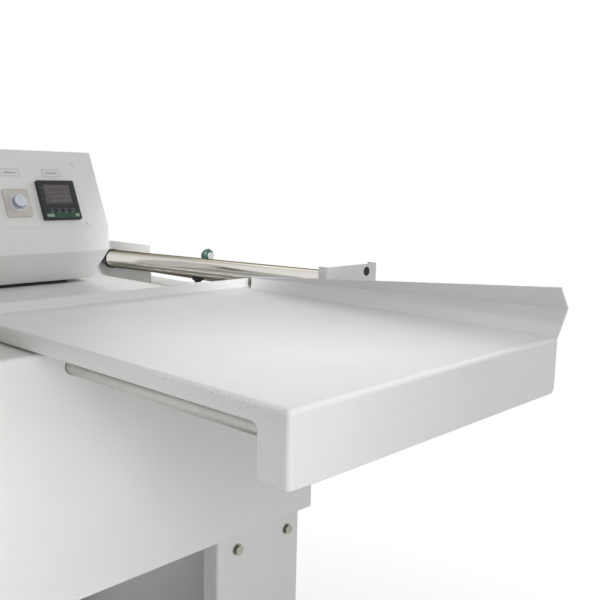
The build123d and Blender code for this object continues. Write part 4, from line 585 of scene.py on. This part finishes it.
# %% Give each solid its finish
FINISHES = {
    white_coat: ["table_cover", "end_panels", "pedestal_left", "pedestal_right", "corner_cleats",
                 "foot_plates", "lower_shelf", "film_deck", "front_bracket", "rear_bracket", "roller_guard",
                 "rod_carrier", "product_bed"],
    tray_coat: ["tray_plate"],
    box_coat: ["control_box", "panel_screws"],
    panel_film: ["control_panel"],
    roller_chrome: ["guide_roller", "idler_roller"],
    drawn_steel: ["tray_rods"],
    bolt_finish: ["pedestal_bolts"],
    zinc_plate: ["deck_bolts", "roller_axles", "electromagnet", "armature"],
    steel_plate: ["hinge_cheeks", "hinge_shaft", "bearing_blocks", "counterweight", "tray_saddles",
                  "perforator_bar", "transformer"],
    satin_aluminium: ["arm_front_beam", "perforator_block", "lower_jaws"],
    side_aluminium: ["arm_side_beam"],
    turned_brass: ["rod_bushes", "seal_blades"],
    black_plastic: ["temperature_controller", "clamp_knob", "arm_handle", "power_switch", "mains_inlet",
                    "roller_collars"],
    timer_beige: ["timer_body"],
    dial_white: ["timer_dial"],
    knob_silver: ["timer_knob"],
    key_grey: [name for name in nodes if name.startswith("controller_key")],
    display_smoke: ["controller_display"],
    wheel_green: ["pin_wheel"],
    switch_green: ["switch_rocker"],
    silicone_red: ["seal_pads"],
    # The black strip under the control box stands in for the shadow in the gap beneath the box: painted
    # shade.
    black_rubber: ["box_base_strip", "bracket_plug"],
    lamp_finish: ["pilot_lamp"],
    foot_finish: ["levelling_feet"],
}
for finish, names in FINISHES.items():
    for name in names:
        mesh = nodes[name].data
        mesh.materials.clear()
        mesh.materials.append(finish)
dressed = {name for names in FINISHES.values() for name in names}
print("dressed:", len(dressed), "left bare:", sorted(set(nodes) - dressed))

# %% [markdown]
# The instruments carry small marks: figures on the smoked window, a green strip under the keys, ticks round
# the timer's dial. They are thin solids laid on the panel. Drawing them in the panel's own right and up
# directions keeps the numbers simple, and one helper turns that flat drawing into the room.

# %% Helpers for thin pieces on the panel
PRINT_THICKNESS = 0.12 * MM
SHOULDER_SHARE = 0.6
TOP_SHARE = 0.94
CORNER_STEPS = 4


def on_panel(right, up, out):
    """A point from panel distances in metres, measured along the panel's own directions."""
    return panel_right * right + panel_up * up + panel_normal * out


def piece_from(name, build, material, body):
    """A mesh piece made by a function that fills a bmesh, which then moves with a body."""
    shape = bmesh.new()
    build(shape)
    bmesh.ops.recalc_face_normals(shape, faces=shape.faces)
    mesh = bpy.data.meshes.new(name)
    shape.to_mesh(mesh)
    shape.free()
    mesh.materials.append(material)
    piece = bpy.data.objects.new(name, mesh)
    scene.collection.objects.link(piece)
    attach(piece, body)


def slab(shape, outline, out, thickness):
    """A thin slab from a flat outline of (right, up) points, its top edge drawn in a little."""
    middle_right = sum(right for right, up in outline) / len(outline)
    middle_up = sum(up for right, up in outline) / len(outline)
    rings = []
    for height, share in ((0.0, 1.0), (thickness * SHOULDER_SHARE, 1.0), (thickness, TOP_SHARE)):
        ring = []
        for right, up in outline:
            spot = on_panel(middle_right + (right - middle_right) * share,
                            middle_up + (up - middle_up) * share, out + height)
            ring.append(shape.verts.new(spot))
        rings.append(ring)
    for lower, upper in zip(rings, rings[1:]):
        for index in range(len(lower)):
            following = (index + 1) % len(lower)
            shape.faces.new((lower[index], lower[following], upper[following], upper[index]))
    shape.faces.new(rings[-1])
    shape.faces.new(list(reversed(rings[0])))


def rounded_box(left, low, right, high, corner):
    """Points of a rectangle with rounded corners."""
    centres = ((right - corner, high - corner), (left + corner, high - corner),
               (left + corner, low + corner), (right - corner, low + corner))
    points = []
    for quarter, (centre_right, centre_up) in enumerate(centres):
        for step in range(CORNER_STEPS + 1):
            angle = math.radians(90 * quarter + 90 * step / CORNER_STEPS)
            points.append((centre_right + corner * math.cos(angle), centre_up + corner * math.sin(angle)))
    return points


print("printed marks are", round(PRINT_THICKNESS / MM, 2), "mm thick")

# %% [markdown]
# The controller's window shows two rows of unlit seven-segment figures. The window is a dark solid, so they
# lie on its face as very thin slabs. Each segment is a slim bar with pointed ends, and a plain zero has six
# of them, two lying and four standing, so two short loops draw it.

# %% Figures on the controller's window
SEGMENT_SHARE = 0.13
FIGURES_IN_ROW = 4
FIGURE_MARGIN = 0.06
FIGURE_FILL = 0.74
FIGURE_THICKNESS = 0.15 * MM
window_right = extent("controller_display", panel_right)
window_up = extent("controller_display", panel_up)
window_out = extent("controller_display", panel_normal)[1]
window_width = window_right[1] - window_right[0]
window_height = window_up[1] - window_up[0]


def zero_bars(left, low, width, height):
    """The six bars of a seven-segment zero, as outlines."""
    bar = width * SEGMENT_SHARE
    right = left + width
    outlines = []
    for up in (low + height - bar, low + bar):
        outlines.append([(left + 2 * bar, up - bar), (right - 2 * bar, up - bar), (right - bar, up),
                         (right - 2 * bar, up + bar), (left + 2 * bar, up + bar), (left + bar, up)])
    for start in (low + height / 2, low):
        end = start + height / 2
        for across in (left + bar, right - bar):
            outlines.append([(across, start + bar), (across + bar, start + 2 * bar),
                             (across + bar, end - 2 * bar), (across, end - bar),
                             (across - bar, end - 2 * bar), (across - bar, start + 2 * bar)])
    return outlines


def figure_row(low_share, height_share, pitch_share):
    """A builder for one row of zeros from the window's right end, measured in shares of the window."""
    def build(shape):
        pitch = window_width * pitch_share
        low = window_up[0] + window_height * low_share
        for index in range(FIGURES_IN_ROW):
            left = window_right[1] - window_width * FIGURE_MARGIN - (index + 1) * pitch
            for outline in zero_bars(left, low, pitch * FIGURE_FILL, window_height * height_share):
                slab(shape, outline, window_out, FIGURE_THICKNESS)
    return build


upper_row = figure_row(low_share=0.52, height_share=0.40, pitch_share=0.215)
lower_row = figure_row(low_share=0.10, height_share=0.32, pitch_share=0.175)
piece_from("display_upper_figures", upper_row, digit_red, "machine_base")
piece_from("display_lower_figures", lower_row, digit_grey, "machine_base")
print("window", round(window_width / MM, 1), "x", round(window_height / MM, 1), "mm")

# %% [markdown]
# Below the four keys runs a dark green strip with a pale patch at each end. It is one rounded slab, and the
# patches are two thinner ones on top of it. Their places are taken from the keys and the instrument's edge.

# %% Green strip and its patches
STRIP_HEIGHT = 9.5 * MM
STRIP_GAP = 3.0 * MM
STRIP_CORNER = 0.8 * MM
STRIP_THICKNESS = 0.3 * MM
BEZEL_MARGIN = 3.2 * MM
LEFT_PATCH_START = 1.5 * MM
LEFT_PATCH_END = 15.0 * MM
RIGHT_PATCH_START = 9.0 * MM
RIGHT_PATCH_END = 2.0 * MM
PATCH_INSET = 2.2 * MM
PATCH_CORNER = 0.6 * MM
bezel_right = extent("temperature_controller", panel_right)
bezel_up = extent("temperature_controller", panel_up)
bezel_out = extent("temperature_controller", panel_normal)[1]
strip_high = extent("controller_key_1", panel_up)[0] - STRIP_GAP
strip_low = strip_high - STRIP_HEIGHT
strip_left = bezel_right[0] + BEZEL_MARGIN
strip_right = bezel_right[1] - BEZEL_MARGIN


def green_strip(shape):
    outline = rounded_box(strip_left, strip_low, strip_right, strip_high, STRIP_CORNER)
    slab(shape, outline, bezel_out, STRIP_THICKNESS)


def strip_patches(shape):
    """Pale patches at the strip's ends, the left one longer."""
    left_patch = (strip_left + LEFT_PATCH_START, strip_left + LEFT_PATCH_END)
    right_patch = (strip_right - RIGHT_PATCH_START, strip_right - RIGHT_PATCH_END)
    for start, end in (left_patch, right_patch):
        outline = rounded_box(start, strip_low + PATCH_INSET, end, strip_high - PATCH_INSET, PATCH_CORNER)
        slab(shape, outline, bezel_out + STRIP_THICKNESS, PRINT_THICKNESS)


piece_from("controller_green_strip", green_strip, strip_green, "machine_base")
piece_from("controller_strip_patches", strip_patches, legend_pale, "machine_base")
print("strip below the keys at", round(strip_high, 4))

# %% [markdown]
# A short pale mark sits between each key and the strip, and three tiny lamps sit beside the window. They
# make the black square read as an instrument. The keys travel, so the marks are laid on the housing and
# stay put.

# %% Key marks and indicator lamps
KEY_COUNT = 4
KEY_MARK_INSET = 1.8 * MM
KEY_MARK_LOW = 0.7 * MM
KEY_MARK_HIGH = 1.9 * MM
KEY_MARK_CORNER = 0.3 * MM
INDICATOR_COUNT = 3
INDICATOR_FIRST = 0.2
INDICATOR_PITCH = 0.3
INDICATOR_WIDTH = 2.4 * MM
INDICATOR_HEIGHT = 1.6 * MM
INDICATOR_CORNER = 0.5 * MM
INDICATOR_THICKNESS = 0.2 * MM


def key_marks(shape):
    for number in range(1, KEY_COUNT + 1):
        key_left, key_right = extent(f"controller_key_{number}", panel_right)
        outline = rounded_box(key_left + KEY_MARK_INSET, strip_high + KEY_MARK_LOW,
                              key_right - KEY_MARK_INSET, strip_high + KEY_MARK_HIGH, KEY_MARK_CORNER)
        slab(shape, outline, bezel_out, PRINT_THICKNESS)


def indicator_lamps(shape):
    """A column of lamps, spaced in shares of the window's height."""
    for index in range(INDICATOR_COUNT):
        low = window_up[0] + window_height * (INDICATOR_FIRST + INDICATOR_PITCH * index)
        outline = rounded_box(strip_left, low, strip_left + INDICATOR_WIDTH, low + INDICATOR_HEIGHT,
                              INDICATOR_CORNER)
        slab(shape, outline, bezel_out, INDICATOR_THICKNESS)


piece_from("controller_key_marks", key_marks, legend_pale, "machine_base")
piece_from("controller_indicators", indicator_lamps, digit_red, "machine_base")
print("marks for", KEY_COUNT, "keys,", INDICATOR_COUNT, "indicator lamps")

# %% [markdown]
# The timer is a beige plate with a white dial. Its scale is a fan of ticks round the knob, so that the
# pointer can be read. The dial's face lies below its rim, so its height is found from the corners well
# inside the rim.

# %% Timer scale
DIAL_RIM = 2.5 * MM
DIAL_TICKS = 11
DIAL_SWEEP = 300.0
TICK_START = 5.4 * MM
TICK_END = 3.4 * MM
TICK_HALF = 0.3 * MM
dial_right = extent("timer_dial", panel_right)
timer_right = sum(dial_right) / 2
timer_up = sum(extent("timer_dial", panel_up)) / 2
dial_radius = (dial_right[1] - dial_right[0]) / 2


def inside_rim(point):
    """Whether a point of the dial lies well inside its rim."""
    away = math.hypot(point.dot(panel_right) - timer_right, point.dot(panel_up) - timer_up)
    return away < dial_radius - DIAL_RIM


dial_points = [vertex.co for vertex in nodes["timer_dial"].data.vertices]
dial_out = max(point.dot(panel_normal) for point in dial_points if inside_rim(point))


def dial_ticks(shape):
    """Ticks that point at the knob, from the sweep's left end to its right end."""
    for index in range(DIAL_TICKS):
        angle = math.radians(90 + DIAL_SWEEP / 2 - DIAL_SWEEP * index / (DIAL_TICKS - 1))
        along = Vector((math.cos(angle), math.sin(angle)))
        side = Vector((-along.y, along.x)) * TICK_HALF
        inner = along * (dial_radius - TICK_START)
        outer = along * (dial_radius - TICK_END)
        tick = (inner - side, outer - side, outer + side, inner + side)
        outline = [(timer_right + point.x, timer_up + point.y) for point in tick]
        slab(shape, outline, dial_out, PRINT_THICKNESS)


piece_from("timer_scale_ticks", dial_ticks, ink_grey, "machine_base")
print("timer dial at", round(timer_right, 4), round(timer_up, 4), "face", round(dial_out - plate_face, 4))

# %% [markdown]
# Each instrument has a label plate above it: a pale field with a fine line round it and a plain bar, no
# words. The plate is a slab, and a ring of two outlines, one inside the other, makes the line.

# %% Bare label plates
LABEL_WIDTH = 36.0 * MM
LABEL_HEIGHT = 15.5 * MM
LABEL_CORNER = 1.2 * MM
LABEL_GAP = 8.0 * MM
LABEL_THICKNESS = 0.2 * MM
LABEL_LINE = 0.6 * MM
LINE_OUTER_CORNER = 1.0 * MM
LINE_INNER_CORNER = 0.5 * MM
LINE_THICKNESS = 0.08 * MM
BAR_HALF_LENGTH = 10.5 * MM
BAR_HALF_HEIGHT = 1.4 * MM
BAR_CORNER = 0.6 * MM
label_low = bezel_up[1] + LABEL_GAP
label_middles = (sum(bezel_right) / 2, timer_right)


def label_outline(middle, inset, corner):
    """A rounded outline that lies inside a label plate's edge by an inset."""
    return rounded_box(middle - LABEL_WIDTH / 2 + inset, label_low + inset,
                       middle + LABEL_WIDTH / 2 - inset, label_low + LABEL_HEIGHT - inset, corner)


def label_plates(shape):
    for middle in label_middles:
        slab(shape, label_outline(middle, 0.0, LABEL_CORNER), plate_face, LABEL_THICKNESS)


def label_lines(shape):
    """A thin ring a little inside the edge of each plate, and a plain bar in the middle."""
    line_out = plate_face + LABEL_THICKNESS
    up = label_low + LABEL_HEIGHT / 2
    for middle in label_middles:
        outer = label_outline(middle, 2 * LABEL_LINE, LINE_OUTER_CORNER)
        inner = label_outline(middle, 3 * LABEL_LINE, LINE_INNER_CORNER)
        for index in range(len(outer)):
            following = (index + 1) % len(outer)
            stretch = [outer[index], outer[following], inner[following], inner[index]]
            slab(shape, stretch, line_out, LINE_THICKNESS)
        bar = rounded_box(middle - BAR_HALF_LENGTH, up - BAR_HALF_HEIGHT,
                          middle + BAR_HALF_LENGTH, up + BAR_HALF_HEIGHT, BAR_CORNER)
        slab(shape, bar, line_out, LINE_THICKNESS)


piece_from("panel_label_plates", label_plates, label_pale, "machine_base")
piece_from("panel_label_lines", label_lines, line_grey, "machine_base")
print("label plates start", round(label_low, 4), "up the panel")
